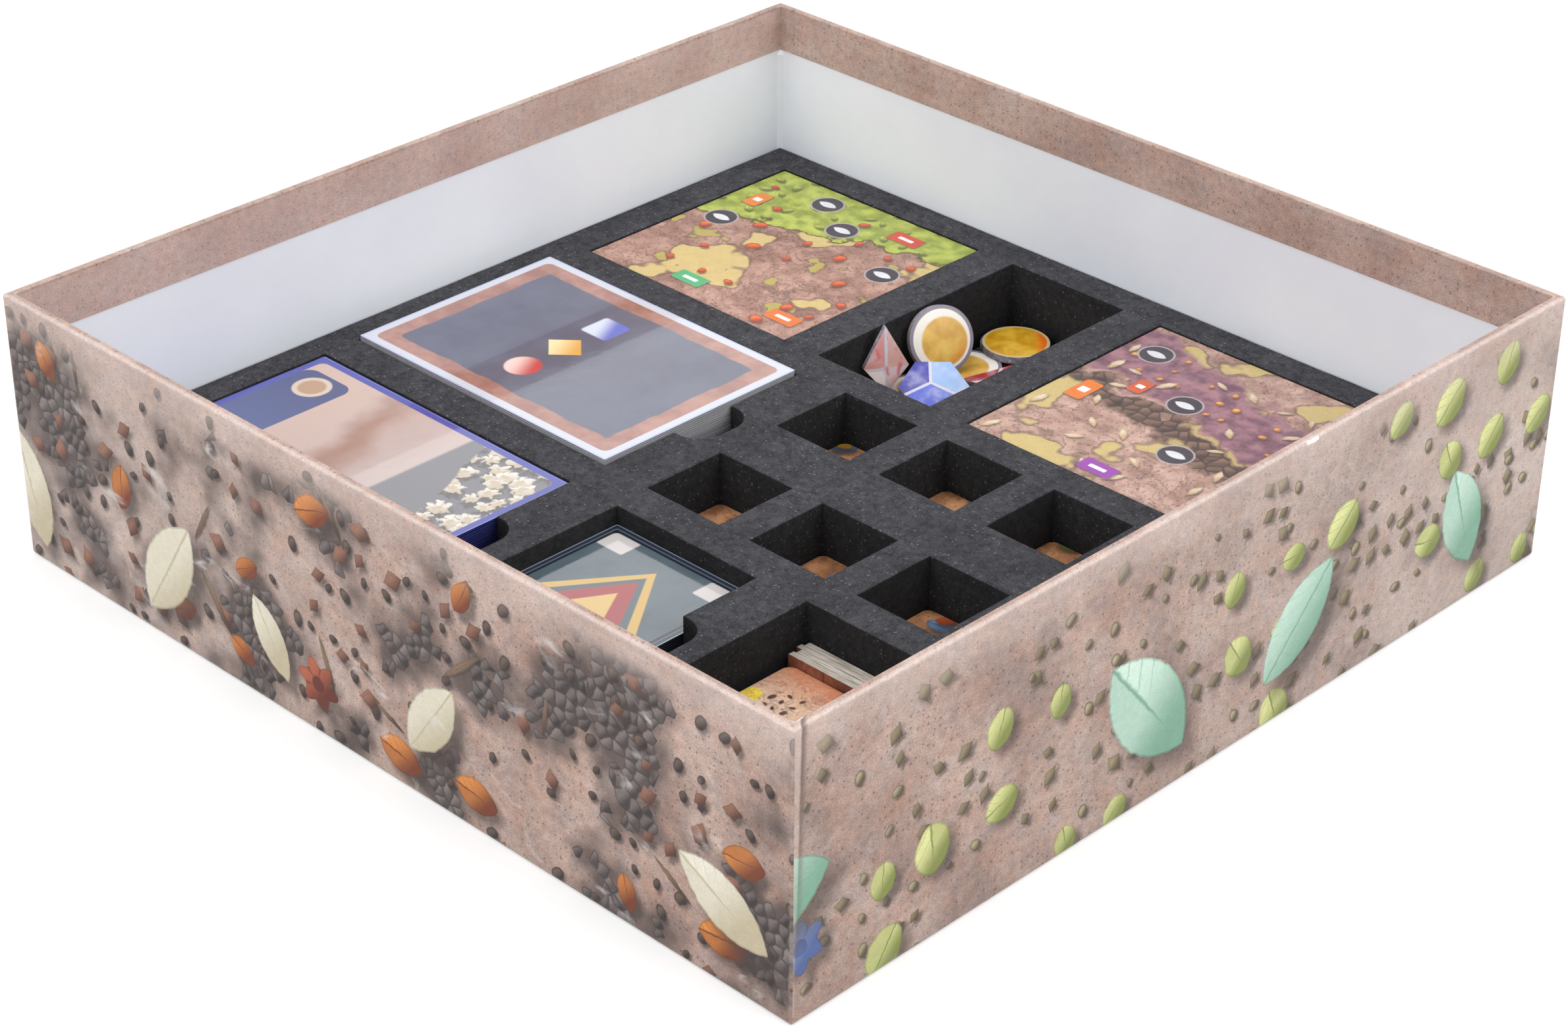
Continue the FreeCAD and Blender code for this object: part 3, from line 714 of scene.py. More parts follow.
def strewn(web, place, under, motif, band=None):
    """A colour with motifs on it: soft shadows first, then bodies lit from the upper left.

    The band is the range of heights in which a motif's middle lies.
    """
    def nearest(spot):
        layout = {"spacing": motif.spacing, "seed": motif.seed, "looseness": motif.looseness}
        spots = web.group(SCATTER, vector=spot, **layout)
        size = web.ramp(spots["Tone"], 0.0, 1.0, low=1.0, high=SMALLEST)
        local = web.shrunk(spots["Local"], size)
        shape = web.group(motif.form, local=local, length=motif.length, width=motif.width)
        middle = web.vector("SUBTRACT", spot, spots["Away"])
        odds = motif.share
        if motif.gate:
            patch, start, end = motif.gate
            odds = web.ramp(web.noise(middle, patch, detail=3.0), start, end, high=motif.share)
        shown = web.math("LESS_THAN", spots["Pick"], odds)
        if band:
            low, high = band
            up = web.split(middle)[1]
            shown = web.both(shown, web.math("GREATER_THAN", up, low), web.math("LESS_THAN", up, high))
        return spots, shape, shown

    cast = motif.width * SHADOW_REACH
    _, shape, shown = nearest(web.vector("ADD", place, (-cast, cast, 0.0)))
    shadow = web.both(web.ramp(shape["Distance"], cast, -cast), shown, SHADOW_DEPTH)
    colour = web.mix(shadow, under, SHADOW)
    spots, shape, shown = nearest(place)
    body = web.both(web.ramp(shape["Distance"], LINE, -LINE), shown)
    x, y = web.split(spots["Away"])
    slope = web.math("DIVIDE", web.math("SUBTRACT", x, y), motif.length)
    lit = web.ramp(slope, start=-0.4, end=0.45)
    shade = web.math("ADD", lit, web.math("MULTIPLY", spots["Tone"], TONE_SPREAD))
    shade = web.math("MAXIMUM", shade, shape["Vein"])
    edge = web.both(web.ramp(shape["Distance"], -EDGE_LINE, -LINE), EDGE_DEPTH)
    body_colour = web.mix(edge, web.mix(shade, motif.pale, motif.deep), SHADOW)
    return web.mix(body, colour, body_colour)


def heaps(web, place, size, patch, level, pale, deep):
    """Where stones lie in heaps, and their colour."""
    gap_depth = 0.8
    stones = web.group(RUBBLE, vector=place, size=size, patch=patch, level=level)
    colour = web.mix(stones["Tone"], pale, deep)
    return stones["Mask"], web.mix(web.both(stones["Gap"], gap_depth), colour, SHADOW)


# Printed paper of the walls

BED_SIZE = 32.0
HAZE_LEVELS = (0.44, 0.6)
SLATES = (22.0, 0.5, 0.55)
WARM_MOTIFS = (
    Motif(PEBBLE, 6.4, 4.2, 3.1, 0.34, 71.0, paint(112, 94, 86), paint(48, 38, 36)),
    Motif(LOZENGE, 8.6, 7.2, 5.2, 0.6, 13.0, paint(164, 118, 98), paint(88, 56, 46), SLATES),
    Motif(LEAF, 22.0, 17.0, 1.9, 0.42, 29.0, paint(160, 134, 108), paint(82, 62, 48)),
    Motif(LEAF, 25.0, 14.5, 8.8, 0.5, 11.0, paint(226, 146, 76), paint(118, 58, 34)),
    Motif(ROSETTE, 62.0, 15.0, 15.0, 0.36, 47.0, paint(184, 100, 72), paint(100, 48, 38)),
    Motif(LEAF, 46.0, 33.0, 15.5, 0.76, 23.31, paint(244, 240, 224), paint(198, 186, 158)),
)
GREEN_MOTIFS = (
    Motif(LOZENGE, 6.8, 6.2, 4.6, 0.7, 17.0, paint(168, 154, 124), paint(98, 84, 64), SLATES),
    Motif(PEBBLE, 8.5, 3.8, 2.8, 0.3, 53.0, paint(188, 176, 144), paint(104, 88, 68)),
    Motif(LEAF, 19.0, 13.0, 10.6, 0.5, 37.0, paint(230, 232, 162), paint(134, 142, 76)),
    Motif(ROSETTE, 60.0, 15.0, 15.0, 0.42, 61.0, paint(146, 168, 208), paint(82, 102, 156)),
    Motif(LEAF, 57.0, 40.0, 20.0, 0.8, 43.3, paint(216, 242, 226), paint(128, 172, 150)),
)


def paint_sand(face):
    """Ground colour of the printed paper: pinkish sand with grey and brown patches and grit."""
    web = face.web
    broad = mottled(web, face.place, 24.0, dark=paint(150, 121, 108), light=paint(203, 180, 168))
    elsewhere = web.vector("ADD", face.place, (300.0, 90.0, 0.0))
    tints = mottled(web, elsewhere, 7.0, dark=paint(188, 152, 136), light=paint(174, 157, 152))
    face.lay(gritty(web, face.place, web.mix(0.5, broad, tints), strength=0.28, specks=0.25))


def paint_wall(face, motifs, soot):
    """Sandy ground, sooty where stones lie in heaps, with leaves, slates, flowers and pebbles, under mist.

    Painted light makes the ground a little paler on its way round from the lapped corner, and no
    motif reaches the rim.
    """
    web = face.web
    painted_far_light, soot_tone, mist = paint(214, 206, 200), paint(84, 71, 68), paint(222, 217, 215)
    rim_margin = 1.5
    along, up = web.split(face.place)
    outside = web.ramp(up, start=HEIGHT_MM - 3.0, end=HEIGHT_MM - 9.0)
    paint_sand(face)
    # painted light: paler away from the lapped corner
    towards_lap = web.math("COSINE", web.math("MULTIPLY", along, math.tau / (4 * SIDE_MM)))
    face.lay(painted_far_light, web.ramp(towards_lap, start=1.0, end=0.0, high=0.32), outside)
    beds = web.noise(face.place, BED_SIZE, detail=3.0)
    face.lay(soot_tone, web.ramp(beds, *HAZE_LEVELS), outside, soot)
    ragged = web.stray(face.place, size=2.2, reach=0.9)
    lying, stones = heaps(web, ragged, size=3.0, patch=BED_SIZE, level=0.61,
                          pale=paint(138, 127, 124), deep=paint(46, 40, 41))
    face.lay(stones, lying, outside, soot)
    for motif in motifs:
        if motif.length > LARGE_MOTIF:
            motif = motif._replace(looseness=1 - motif.length / motif.spacing)
        face.strew(motif, ragged, band=(-motif.width, HEIGHT_MM - rim_margin - motif.length / 2))
    drawn_out = web.vector("MULTIPLY", face.place, (1.0, 1.6, 0.0))
    wisps = web.noise(drawn_out, size=17.0, detail=4.0, distortion=1.1)
    face.lay(mist, web.ramp(wisps, start=0.62, end=0.8), outside, soot)


EDGE_ARC_MM = QUARTER * RIM_EDGE / MM
OUTER_FOLD = HEIGHT_MM - 2 * RIM_EDGE / MM + 1.5 * EDGE_ARC_MM
INNER_FOLD = OUTER_FOLD + EDGE_ARC_MM / 2 + (RIM - RIM_EDGE - INNER_EDGE + INNER_EDGE * QUARTER / 2) / MM
NICK = 159.5


def paint_wrap(face, motifs, soot, turn_in_painted_light):
    """The walls' print, worn on the rim and painted with a sheen there, and cracked along its folds.

    The paper turned in over the rim is painted paler, as painted light on its inner face. A painted highlight
    and painted shade mark the lapped edge, and one nick in the rim shows the white of the paper.
    """
    web = face.web
    along, up = web.split(face.place)
    paint_wall(face, motifs, soot)
    # painted light: the paper turned in over the rim is painted paler
    face.lay(paint(216, 190, 184), web.ramp(up, INNER_FOLD, INNER_FOLD + 1.0, high=turn_in_painted_light))

    # paler towards the top of the wall, and a painted sheen on the rim's outer edge
    below_rim = web.ramp(up, OUTER_FOLD + 0.9, OUTER_FOLD)
    pale_bands = ((13.0, 1.0, 0.35, paint(218, 203, 197)), (1.6, 0.2, 0.18, paint(232, 216, 210)))
    for start, end, strength, tone in pale_bands:
        face.lay(tone, web.ramp(up, OUTER_FOLD - start, OUTER_FOLD - end), below_rim, strength)

    # worn folds, the two on the rim's edges also painted highlights: distance, width, strength and tone
    half_side = SIDE_MM / 2
    from_middle = web.math("PINGPONG", web.math("ADD", along, half_side), half_side)
    folds = (
        (web.math("SUBTRACT", up, OUTER_FOLD - 0.3), 0.6, 0.4, paint(240, 228, 223)),
        (web.math("SUBTRACT", up, INNER_FOLD), 0.3, 0.25, paint(232, 218, 210)),
        (web.math("SUBTRACT", up, EDGE_ARC_MM / 2), 0.5, 0.5, paint(222, 204, 195)),
        (web.math("SUBTRACT", half_side, from_middle), 0.7, 0.32, paint(216, 198, 188)),
    )
    for distance, width, strength, tone in folds:
        face.lay(tone, web.group(CREASE_WEAR_AND_HIGHLIGHT, vector=face.place, distance=distance, width=width)["Mask"], strength)
    torn = web.stray(face.place, size=0.9, reach=0.8)
    face.lay(paint(246, 243, 243), face.plate(NICK, OUTER_FOLD - 0.6, 2.1, 0.5, corner=0.4, place=torn))

    # painted highlight on the lapped edge's bead, and painted shade beside it
    lap_edge = web.math("MULTIPLY_ADD", up, (LAP_TOP - LAP_FOOT) / MM / HEIGHT_MM, LAP_FOOT / MM)
    past_lap = web.math("SUBTRACT", along, lap_edge)
    standing_off = web.ramp(up, start=4.0, end=HEIGHT_MM - 8.0, low=0.2)
    on_lap = web.ramp(along, start=0.0, end=0.3)
    face.lay(paint(222, 203, 192), on_lap, web.ramp(past_lap, start=-0.1, end=-0.8), standing_off, 0.36)
    near_edge = web.ramp(past_lap, start=-0.45, end=0.05)
    face.lay(paint(96, 75, 68), near_edge, web.ramp(past_lap, start=1.9, end=0.1), standing_off, 0.75)


def paint_liner(face):
    """Plain white paper, a little cool, with a soft grain."""
    face.lay(mottled(face.web, face.place, 45.0, dark=paint(236, 240, 248), light=paint(242, 246, 252)))


# Cards in clear sleeves

BLOSSOM = Motif(ROSETTE, 5.2, 7.4, 7.4, 0.9, 5.0, paint(236, 232, 225), paint(200, 184, 160), looseness=0.9)


def paint_blue_card(face):
    """Blue border and head, a soft picture of hills, and a grey foot with white blossoms in one corner."""
    web, half = face.web, half_of("blue_card_deck")
    x, y = web.split(face.place)
    shift = web.waver(face.place, size=22.0, reach=12.0)
    down = web.math("ADD", x, shift)
    face.lay(web.mix(web.ramp(down, start=-30.0, end=10.0), paint(206, 177, 163), paint(200, 180, 176)))
    ridge = web.math("MULTIPLY_ADD", y, 0.25, web.math("MULTIPLY_ADD", shift, 1.2, down))
    crest = -5.0
    face.lay(paint(160, 116, 96), web.ramp(ridge, -14.0, crest), web.ramp(ridge, 8.0, crest), 0.7)
    face.lay(paint(118, 117, 124), web.ramp(x, start=13.0, end=14.4))
    petals = strewn(web, web.stray(face.place, size=2.4, reach=3.6), face.colour, BLOSSOM)
    corner = web.math("ADD", x, web.math("MULTIPLY_ADD", y, 0.4, web.math("MULTIPLY", shift, 0.9)))
    face.lay(petals, web.ramp(corner, start=30.0, end=31.0), web.ramp(x, start=14.0, end=15.0))
    head_x, badge_y = -half.x + 10.6, half.y - 12.6
    blue = web.mix(web.ramp(y, start=-20.0, end=30.0), paint(78, 92, 146), paint(56, 66, 118))
    face.lay(blue, face.plate(head_x, -2.0, 8.6, half.y - 4.2, corner=3.5))
    face.lay(paint(216, 196, 176), face.disc(head_x, badge_y, 5.0, softness=0.3))
    face.lay(paint(186, 146, 112), face.disc(head_x, badge_y, 3.6, softness=0.5))
    # a painted highlight along the sleeve film's edge, round the blue border
    film = face.inset(half, 0.4, corner=0.3, softness=0.12)
    border = web.mix(film, paint(112, 120, 200), paint(62, 68, 166))
    face.surround(border, face.inset(half, 2.2, corner=2.0, softness=0.2))


def paint_picture_card(face):
    """White border, terracotta band, and a slate picture with three plain shapes in a row."""
    web, half = face.web, half_of("picture_card_deck")
    face.lay(mottled(web, face.place, 20.0, dark=paint(77, 78, 102), light=paint(92, 96, 118)))
    glow = web.vector("LENGTH", web.vector("MULTIPLY", face.place, (1.0, 0.6, 0.0)))
    face.lay(paint(108, 110, 126), web.ramp(glow, start=30.0, end=6.0, high=0.25))
    row, step = -4.0, 14.0
    red = face.shaded(row, -step, 4.0, paint(248, 214, 206), paint(200, 56, 52))
    face.lay(red, face.disc(row, -step, 4.8, softness=0.4))
    gold = face.shaded(row, 0.0, 5.0, paint(250, 232, 178), paint(230, 168, 66))
    face.lay(gold, face.shape(LOZENGE, row, 0.0, length=12.0, width=11.0))
    blue = face.shaded(row, step, 3.0, paint(220, 228, 246), paint(98, 112, 204))
    face.lay(blue, face.plate(row, step, 4.6, 4.6, corner=1.0, softness=0.4))
    wavy = web.stray(face.place, size=9.0, reach=2.4)
    picture = face.plate(0.0, 0.0, half.x - 7.4, half.y - 7.2, corner=1.0, softness=0.3, place=wavy)
    band = mottled(web, face.place, 9.0, dark=paint(154, 102, 90), light=paint(182, 134, 120))
    face.surround(band, picture)
    film = face.inset(half, 0.5, corner=0.4, softness=0.15)
    border = web.mix(film, paint(180, 190, 220), paint(208, 211, 222))
    face.surround(border, face.inset(half, 2.6, corner=2.0, softness=0.2))


def paint_mini_card(face):
    """Slate card with lozenges set in each other and two pale patches at its back corners.

    The sleeve's clear margin is dark, with pale lines along the film's edges painted as highlights.
    """
    web, half = face.web, half_of("mini_card_deck")
    face.lay(mottled(web, face.place, 16.0, dark=paint(82, 95, 104), light=paint(98, 111, 119)))
    x, y = web.split(face.place)
    upright = web.join(y, x)
    for length, width, tone in ((46.0, 34.0, paint(214, 176, 98)), (40.0, 28.0, paint(90, 103, 111)),
                                (35.0, 23.0, paint(168, 68, 72)), (22.0, 13.0, paint(222, 188, 118))):
        face.lay(tone, face.shape(LOZENGE, 0.0, 0.0, length, width, place=upright))
    for side in (-1, 1):
        label = face.plate(side * (half.x - 6.6), half.y - 5.8, 4.2, 3.2, corner=0.6, softness=0.3)
        face.lay(paint(210, 204, 202), label)
    face.surround(paint(38, 43, 52), face.inset(half, 2.5, corner=1.5, softness=0.15))
    # the sleeve's margin: dark bands and pale lines, the pale ones painted highlights on the film's edges
    for margin, tone in ((1.7, paint(96, 108, 128)), (1.3, paint(50, 56, 66)), (0.35, paint(142, 156, 176))):
        face.surround(tone, face.inset(half, margin, corner=0.5, softness=0.12))


# Punched boards

def lay_terrain(face, dark, light, specks=0.4):
    """Printed ground of a map board: mottled earth with grit and dark cracks."""
    web = face.web
    face.lay(mottled(web, face.place, 9.0, dark, light))
    cracks = web.noise(face.place, size=7.0, detail=5.0, roughness=0.6, distortion=0.8)
    from_crack = web.math("ABSOLUTE", web.math("SUBTRACT", cracks, 0.5))
    face.lay(SHADOW, web.ramp(from_crack, start=0.03, end=0.0, high=0.45))
    face.lay(gritty(web, face.place, face.colour, 0.16, specks))


def lay_patches(face, size, level, tone, seed):
    """Uneven patches of one tone, each in a dark outline."""
    web = face.web
    elsewhere = web.vector("ADD", face.place, (seed, 2 * seed, 0.0))
    rise = web.noise(elsewhere, size, detail=3.0, roughness=0.45)
    face.lay(paint(96, 74, 63), web.ramp(rise, level - 0.03, level - 0.01, high=0.55))
    face.lay(tone, web.ramp(rise, level - 0.01, level + 0.02))


def lay_badges(face, places):
    """Round dark badges in a thin pale ring, each with a plain pale leaf."""
    for x, y in places:
        face.lay(paint(176, 164, 166), face.disc(x, y, 4.8))
        face.lay(paint(66, 61, 68), face.disc(x, y, 4.3))
        face.lay(paint(222, 222, 228), face.shape(LEAF, x, y, length=6.0, width=2.8))


def lay_tags(face, places):
    """Small coloured tags, each with a shadow and a white bar."""
    cast = 0.3
    for x, y, half_width, half_depth, tone in places:
        outer = (half_width + cast, half_depth + cast)
        face.lay(SHADOW, face.plate(x + cast, y - cast, *outer, corner=0.9, softness=0.3), 0.6)
        face.lay(tone, face.plate(x, y, half_width, half_depth, corner=0.8))
        face.lay(paint(244, 240, 236), face.plate(x, y, half_width * 0.5, half_depth * 0.26, corner=0.3))


SQUARE_BADGES = ((-27.0, 3.0), (2.0, 20.0), (28.0, 8.0), (-12.0, 29.0))
SQUARE_TAGS = ((27.0, -28.0, 5.0, 2.6, paint(222, 116, 56)), (-6.0, -29.0, 5.0, 2.6, paint(86, 172, 120)),
               (18.0, 28.0, 5.0, 2.6, paint(206, 78, 60)), (-28.0, 18.0, 2.4, 4.0, paint(226, 132, 60)))
LONG_BADGES = ((-38.0, 24.0), (-16.0, 8.0), (-2.0, -13.0), (24.0, 4.0), (37.0, -26.0))
LONG_TAGS = ((-39.0, -3.0, 2.6, 5.0, paint(226, 122, 52)), (-11.0, -31.0, 5.0, 2.6, paint(150, 70, 168)),
             (20.0, 31.0, 5.0, 2.6, paint(150, 84, 60)), (-30.0, 8.0, 2.2, 3.4, paint(206, 96, 60)))
GRASS = Motif(LEAF, 6.5, 4.4, 2.6, 0.5, 9.0, paint(206, 210, 104), paint(112, 130, 50))
EMBER = Motif(PEBBLE, 10.0, 4.6, 3.4, 0.34, 2.0, paint(236, 122, 70), paint(170, 66, 44))
RIVER_STONE = Motif(PEBBLE, 6.0, 2.8, 2.2, 0.4, 31.0, paint(240, 196, 104), paint(186, 106, 66))
SPLINTER = Motif(LEAF, 9.0, 6.6, 2.4, 0.34, 8.0, paint(238, 224, 196), paint(198, 166, 132))
SPECK = Motif(PEBBLE, 3.0, 2.3, 1.2, 0.9, 2.0, paint(120, 78, 62), paint(72, 42, 38), looseness=0.2)
TILE_LEAF_TONES = (
    (paint(120, 144, 176), paint(70, 86, 112)), (paint(232, 196, 76), paint(172, 130, 40)),
    (paint(140, 160, 80), paint(90, 108, 48)), (paint(214, 112, 62), paint(150, 66, 40)),
)


def paint_square_map(face):
    """Earth with sandy patches and a green field along the back, embers, badges and tags."""
    web = face.web
    lay_terrain(face, paint(150, 112, 99), paint(190, 152, 137))
    lay_patches(face, 20.0, 0.58, paint(206, 182, 124), seed=41.0)
    lay_patches(face, 9.0, 0.66, paint(178, 162, 92), seed=73.0)
    x, y = web.split(face.place)
    wave = web.waver(face.place, size=9.0, reach=20.0, detail=4.0)
    edge = web.math("ADD", web.math("MULTIPLY_ADD", x, -0.3, y), wave)
    field = mottled(web, face.place, 4.5, dark=paint(136, 150, 58), light=paint(184, 194, 92))
    face.lay(paint(96, 88, 46), web.ramp(edge, start=13.0, end=14.5))
    face.lay(strewn(web, face.place, field, GRASS), web.ramp(edge, start=14.5, end=15.5))
    face.strew(EMBER, web.stray(face.place, size=2.0, reach=1.2))
    lay_badges(face, SQUARE_BADGES)
    lay_tags(face, SQUARE_TAGS)


def paint_long_map(face):
    """Earth with sandy patches, a violet river with dark rocks along it, splinters, badges and tags."""
    web = face.web
    lay_terrain(face, paint(160, 124, 111), paint(202, 168, 154))
    lay_patches(face, 18.0, 0.6, paint(200, 178, 120), seed=29.0)
    x, y = web.split(face.place)
    wave = web.waver(face.place, size=12.0, reach=24.0, detail=5.0)
    bend = web.math("ADD", web.math("MULTIPLY_ADD", x, 0.22, y), wave)
    river = mottled(web, face.place, 5.0, dark=paint(112, 78, 94), light=paint(168, 124, 132))
    river = strewn(web, face.place, river, RIVER_STONE)
    face.lay(river, web.ramp(bend, start=-2.0, end=1.0), web.ramp(bend, start=26.0, end=21.0))
    lying, stones = heaps(web, face.place, size=3.6, patch=10.0, level=0.42,
                          pale=paint(140, 110, 96), deep=paint(64, 48, 44))
    bank = web.both(web.ramp(bend, start=-13.0, end=-9.0), web.ramp(bend, start=-1.0, end=-4.0))
    face.lay(stones, bank, web.ramp(lying, 0.0, 1.0, low=0.5))
    face.strew(SPLINTER, web.stray(face.place, size=2.0, reach=1.0))
    lay_badges(face, LONG_BADGES)
    lay_tags(face, LONG_TAGS)


def paint_tile(face):
    """Orange-brown earth with small bright leaves."""
    lay_terrain(face, paint(146, 96, 66), paint(204, 148, 104))
    for number, (pale, deep) in enumerate(TILE_LEAF_TONES):
        face.strew(Motif(LEAF, 15.0, 8.0, 5.0, 0.42, 5.0 + 7.0 * number, pale, deep))


def paint_slab(face):
    """Orange-tan earth, brick red towards the back, with rows of brown specks and a yellow patch."""
    web = face.web
    lay_terrain(face, paint(222, 178, 143), paint(236, 214, 195), specks=0.2)
    back = web.split(face.place)[1]
    # redder and darker towards the back
    back_tint = web.math("MULTIPLY_ADD", web.noise(face.place, size=9.0, detail=4.0), 34.0, back)
    face.lay(paint(200, 110, 64), web.ramp(back_tint, start=30.0, end=50.0, high=0.85))
    face.lay(strewn(web, face.place, face.colour, SPECK), face.blob(-20.0, 17.0, 5.0))
    yellow = gritty(web, face.place, paint(238, 208, 84), strength=0.25, specks=0.2)
    face.lay(yellow, face.blob(-28.0, 14.0, 3.0))


def paint_strip(face):
    lay_terrain(face, paint(104, 58, 44), paint(162, 100, 76))


# Tokens

def paint_coin(face):
    """Ochre disc, a little off the middle of a pale ring, in a grey rim."""
    web = face.web
    x, y = web.split(face.place)
    face.lay(mottled(web, face.place, 6.0, dark=paint(204, 152, 56), light=paint(230, 190, 98)))
    face.lay(paint(214, 128, 40), web.ramp(web.math("SUBTRACT", x, y), start=5.0, end=10.0, high=0.6))
    face.surround(paint(242, 237, 228), face.disc(0.7, -0.6, 6.4, softness=0.35))
    face.lay(paint(134, 126, 140), web.ramp(web.vector("LENGTH", face.place), start=7.8, end=8.1))


def paint_amber(face):
    """Amber disc that glows orange towards one side, in a pale rim."""
    web = face.web
    x, y = web.split(face.place)
    face.lay(mottled(web, face.place, 5.0, dark=paint(192, 136, 12), light=paint(220, 176, 52)))
    face.lay(paint(222, 104, 20), web.ramp(web.math("ADD", x, y), start=5.0, end=11.0))
    face.lay(paint(204, 182, 132), web.ramp(web.vector("LENGTH", face.place), start=7.9, end=8.3))


def lay_facets(face, middle, first, tones):
    """Facets round a point, each with its own tone, clouded, with pale edges between them.

    The first one starts at an angle in degrees.
    """
    web = face.web
    local = web.vector("SUBTRACT", face.place, (*middle, 0.0))
    x, y = web.split(local)
    turn = web.math("DIVIDE", web.math("ARCTAN2", y, x), math.tau)
    part = web.math("FRACT", web.math("ADD", turn, 1.0 - first / 360))
    face.lay(tones[0])
    for number, tone in enumerate(tones[1:], start=1):
        face.lay(tone, web.math("GREATER_THAN", part, number / len(tones)))
    within = web.math("FRACT", web.math("MULTIPLY", part, len(tones)))
    aside = web.math("MINIMUM", within, web.math("SUBTRACT", 1.0, within))
    distance = web.both(aside, web.vector("LENGTH", local), math.tau / len(tones))
    clouds = web.noise(face.place, size=5.0, detail=3.0)
    face.lay(paint(220, 222, 238), web.ramp(clouds, start=0.4, end=0.8, high=0.5))
    face.lay(paint(206, 204, 216), web.ramp(distance, start=0.5, end=0.3))


def paint_blue_gem(face):
    lay_facets(face, (-0.8, 1.2), -30, [paint(150, 180, 226), paint(56, 56, 160), paint(74, 94, 206)])


def paint_red_gem(face):
    lay_facets(face, (0.0, 0.0), 0, [paint(206, 54, 62), paint(160, 26, 40), paint(226, 96, 92)])


def paint_pink_crystal(face):
    """Pale facets with red strokes."""
    web = face.web
    tones = [paint(214, 166, 156), paint(214, 150, 146), paint(242, 228, 232), paint(236, 192, 194)]
    lay_facets(face, (0.0, -1.5), 0, tones)
    strokes = web.noise(web.vector("MULTIPLY", face.place, (1.0, 0.5, 0.0)), size=2.4, detail=3.0)
    face.lay(paint(212, 96, 106), web.ramp(strokes, start=0.55, end=0.68, high=0.8))


# Meshes

def add_object(name, data):
    thing = bpy.data.objects.new(name, data)
    bpy.context.scene.collection.objects.link(thing)
    return thing


def settle(thing, materials, body, slot, *nodes):
    """Gives a finished piece its materials and its body, and hides the nodes that it stands for."""
    for material in materials:
        thing.data.materials.append(material)
    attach(thing, body)
    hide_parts(*nodes)
    return thing


def plain_mesh(thing):
    """The evaluated piece as a plain mesh."""
    bpy.context.view_layer.update()
    graph = bpy.context.evaluated_depsgraph_get()
    return bpy.data.meshes.new_from_object(thing.evaluated_get(graph))


def soften(data, angle=40):
    """Smooth across angles up to so many degrees."""
    data.shade_smooth()
    data.set_sharp_from_angle(angle=math.radians(angle))


def finished_mesh(mesh, name, angle=40):
    """Turns a bmesh into a mesh with its faces outward, smooth across gentle angles."""
    bmesh.ops.recalc_face_normals(mesh, faces=mesh.faces)
    data = bpy.data.meshes.new(name)
    mesh.to_mesh(data)
    mesh.free()
    soften(data, angle)
    return data


def arc(centre, start, turn, radius, steps):
    """Points on an arc, without its first one."""
    angles = [start + turn * step / steps for step in range(1, steps + 1)]
    return [(centre[0] + radius * math.cos(angle), centre[1] + radius * math.sin(angle)) for angle in angles]


# Paper wrap

ON_LAP, OFF_LAP = "on the lap", "beside the lap"
NEAR_CORNER = (0.3 * MM, 1.6 * MM, 3.2 * MM)
CORNER_BENDS = [1.25, 1.5, 1.75]


def wall_section(low, high):
    """Section of the paper as (inset from the outside, height).

    Its outer side runs under the box, up, over the rim and down inside, and its inner side runs back.
    """
    rise = high - low - 2 * RIM_EDGE
    outside = [(TURN_UNDER, low), (RIM_EDGE, low)]
    outside += arc((RIM_EDGE, low + RIM_EDGE), -QUARTER, -QUARTER, RIM_EDGE, steps=3)
    outside += [(0.0, low + RIM_EDGE + rise * row / WALL_ROWS) for row in range(1, WALL_ROWS + 1)]
    outside += arc((RIM_EDGE, high - RIM_EDGE), math.pi, -QUARTER, RIM_EDGE, steps=5)
    outside += [(RIM - INNER_EDGE, high)]
    outside += arc((RIM - INNER_EDGE, high - INNER_EDGE), QUARTER, -QUARTER, INNER_EDGE, steps=4)
    outside += [(RIM, high - TURN_IN / 2), (RIM, high - TURN_IN)]
    inside = [(RIM - PAPER, high - TURN_IN), (RIM - PAPER, high - RIM_EDGE), (RIM / 2, high - 2 * PAPER),
              (2 * PAPER, high - RIM_EDGE), (2 * PAPER, low + PAPER), (TURN_UNDER, low + PAPER)]
    return outside, inside


def wall_stations(side):
    """Stations round the box from the lapped corner, as (wall, share of that wall).

    Past 1 the share is the corner's bend.
    """
    steps = round(side / WALL_STEP)
    near = [distance / side for distance in NEAR_CORNER]
    far = [1 - share for share in near]
    shares = sorted({0.0, 1.0, *near, *far, *(step / steps for step in range(1, steps))})
    stations = [(wall, share) for wall in range(4) for share in shares + CORNER_BENDS]
    lap = stations.index((0, near[1]))
    stations[lap:lap + 1] = [(0, ON_LAP), (0, OFF_LAP)]
    return stations


def lap_width(height, high):
    return LAP_FOOT + (LAP_TOP - LAP_FOOT) * height / high


def share_at(share, height, high, side):
    """A station's share at a height; two stations follow the edge of the lap."""
    if share in (ON_LAP, OFF_LAP):
        aside = LAP_EDGE if share == OFF_LAP else -LAP_EDGE
        return (lap_width(height, high) + aside) / side
    return share


def station_point(wall, share, inset, half):
    """A station's place on the square that lies inset from the outside."""
    corner = max(CORNER - inset, SHARPEST_CORNER)
    reach = half - inset
    if share <= 1:
        local = Vector((reach, (2 * share - 1) * (reach - corner)))
    else:
        bend = (share - 1) * QUARTER
        local = Vector((reach - corner + corner * math.cos(bend), reach - corner + corner * math.sin(bend)))
    return Matrix.Rotation(wall * QUARTER, 2) @ local


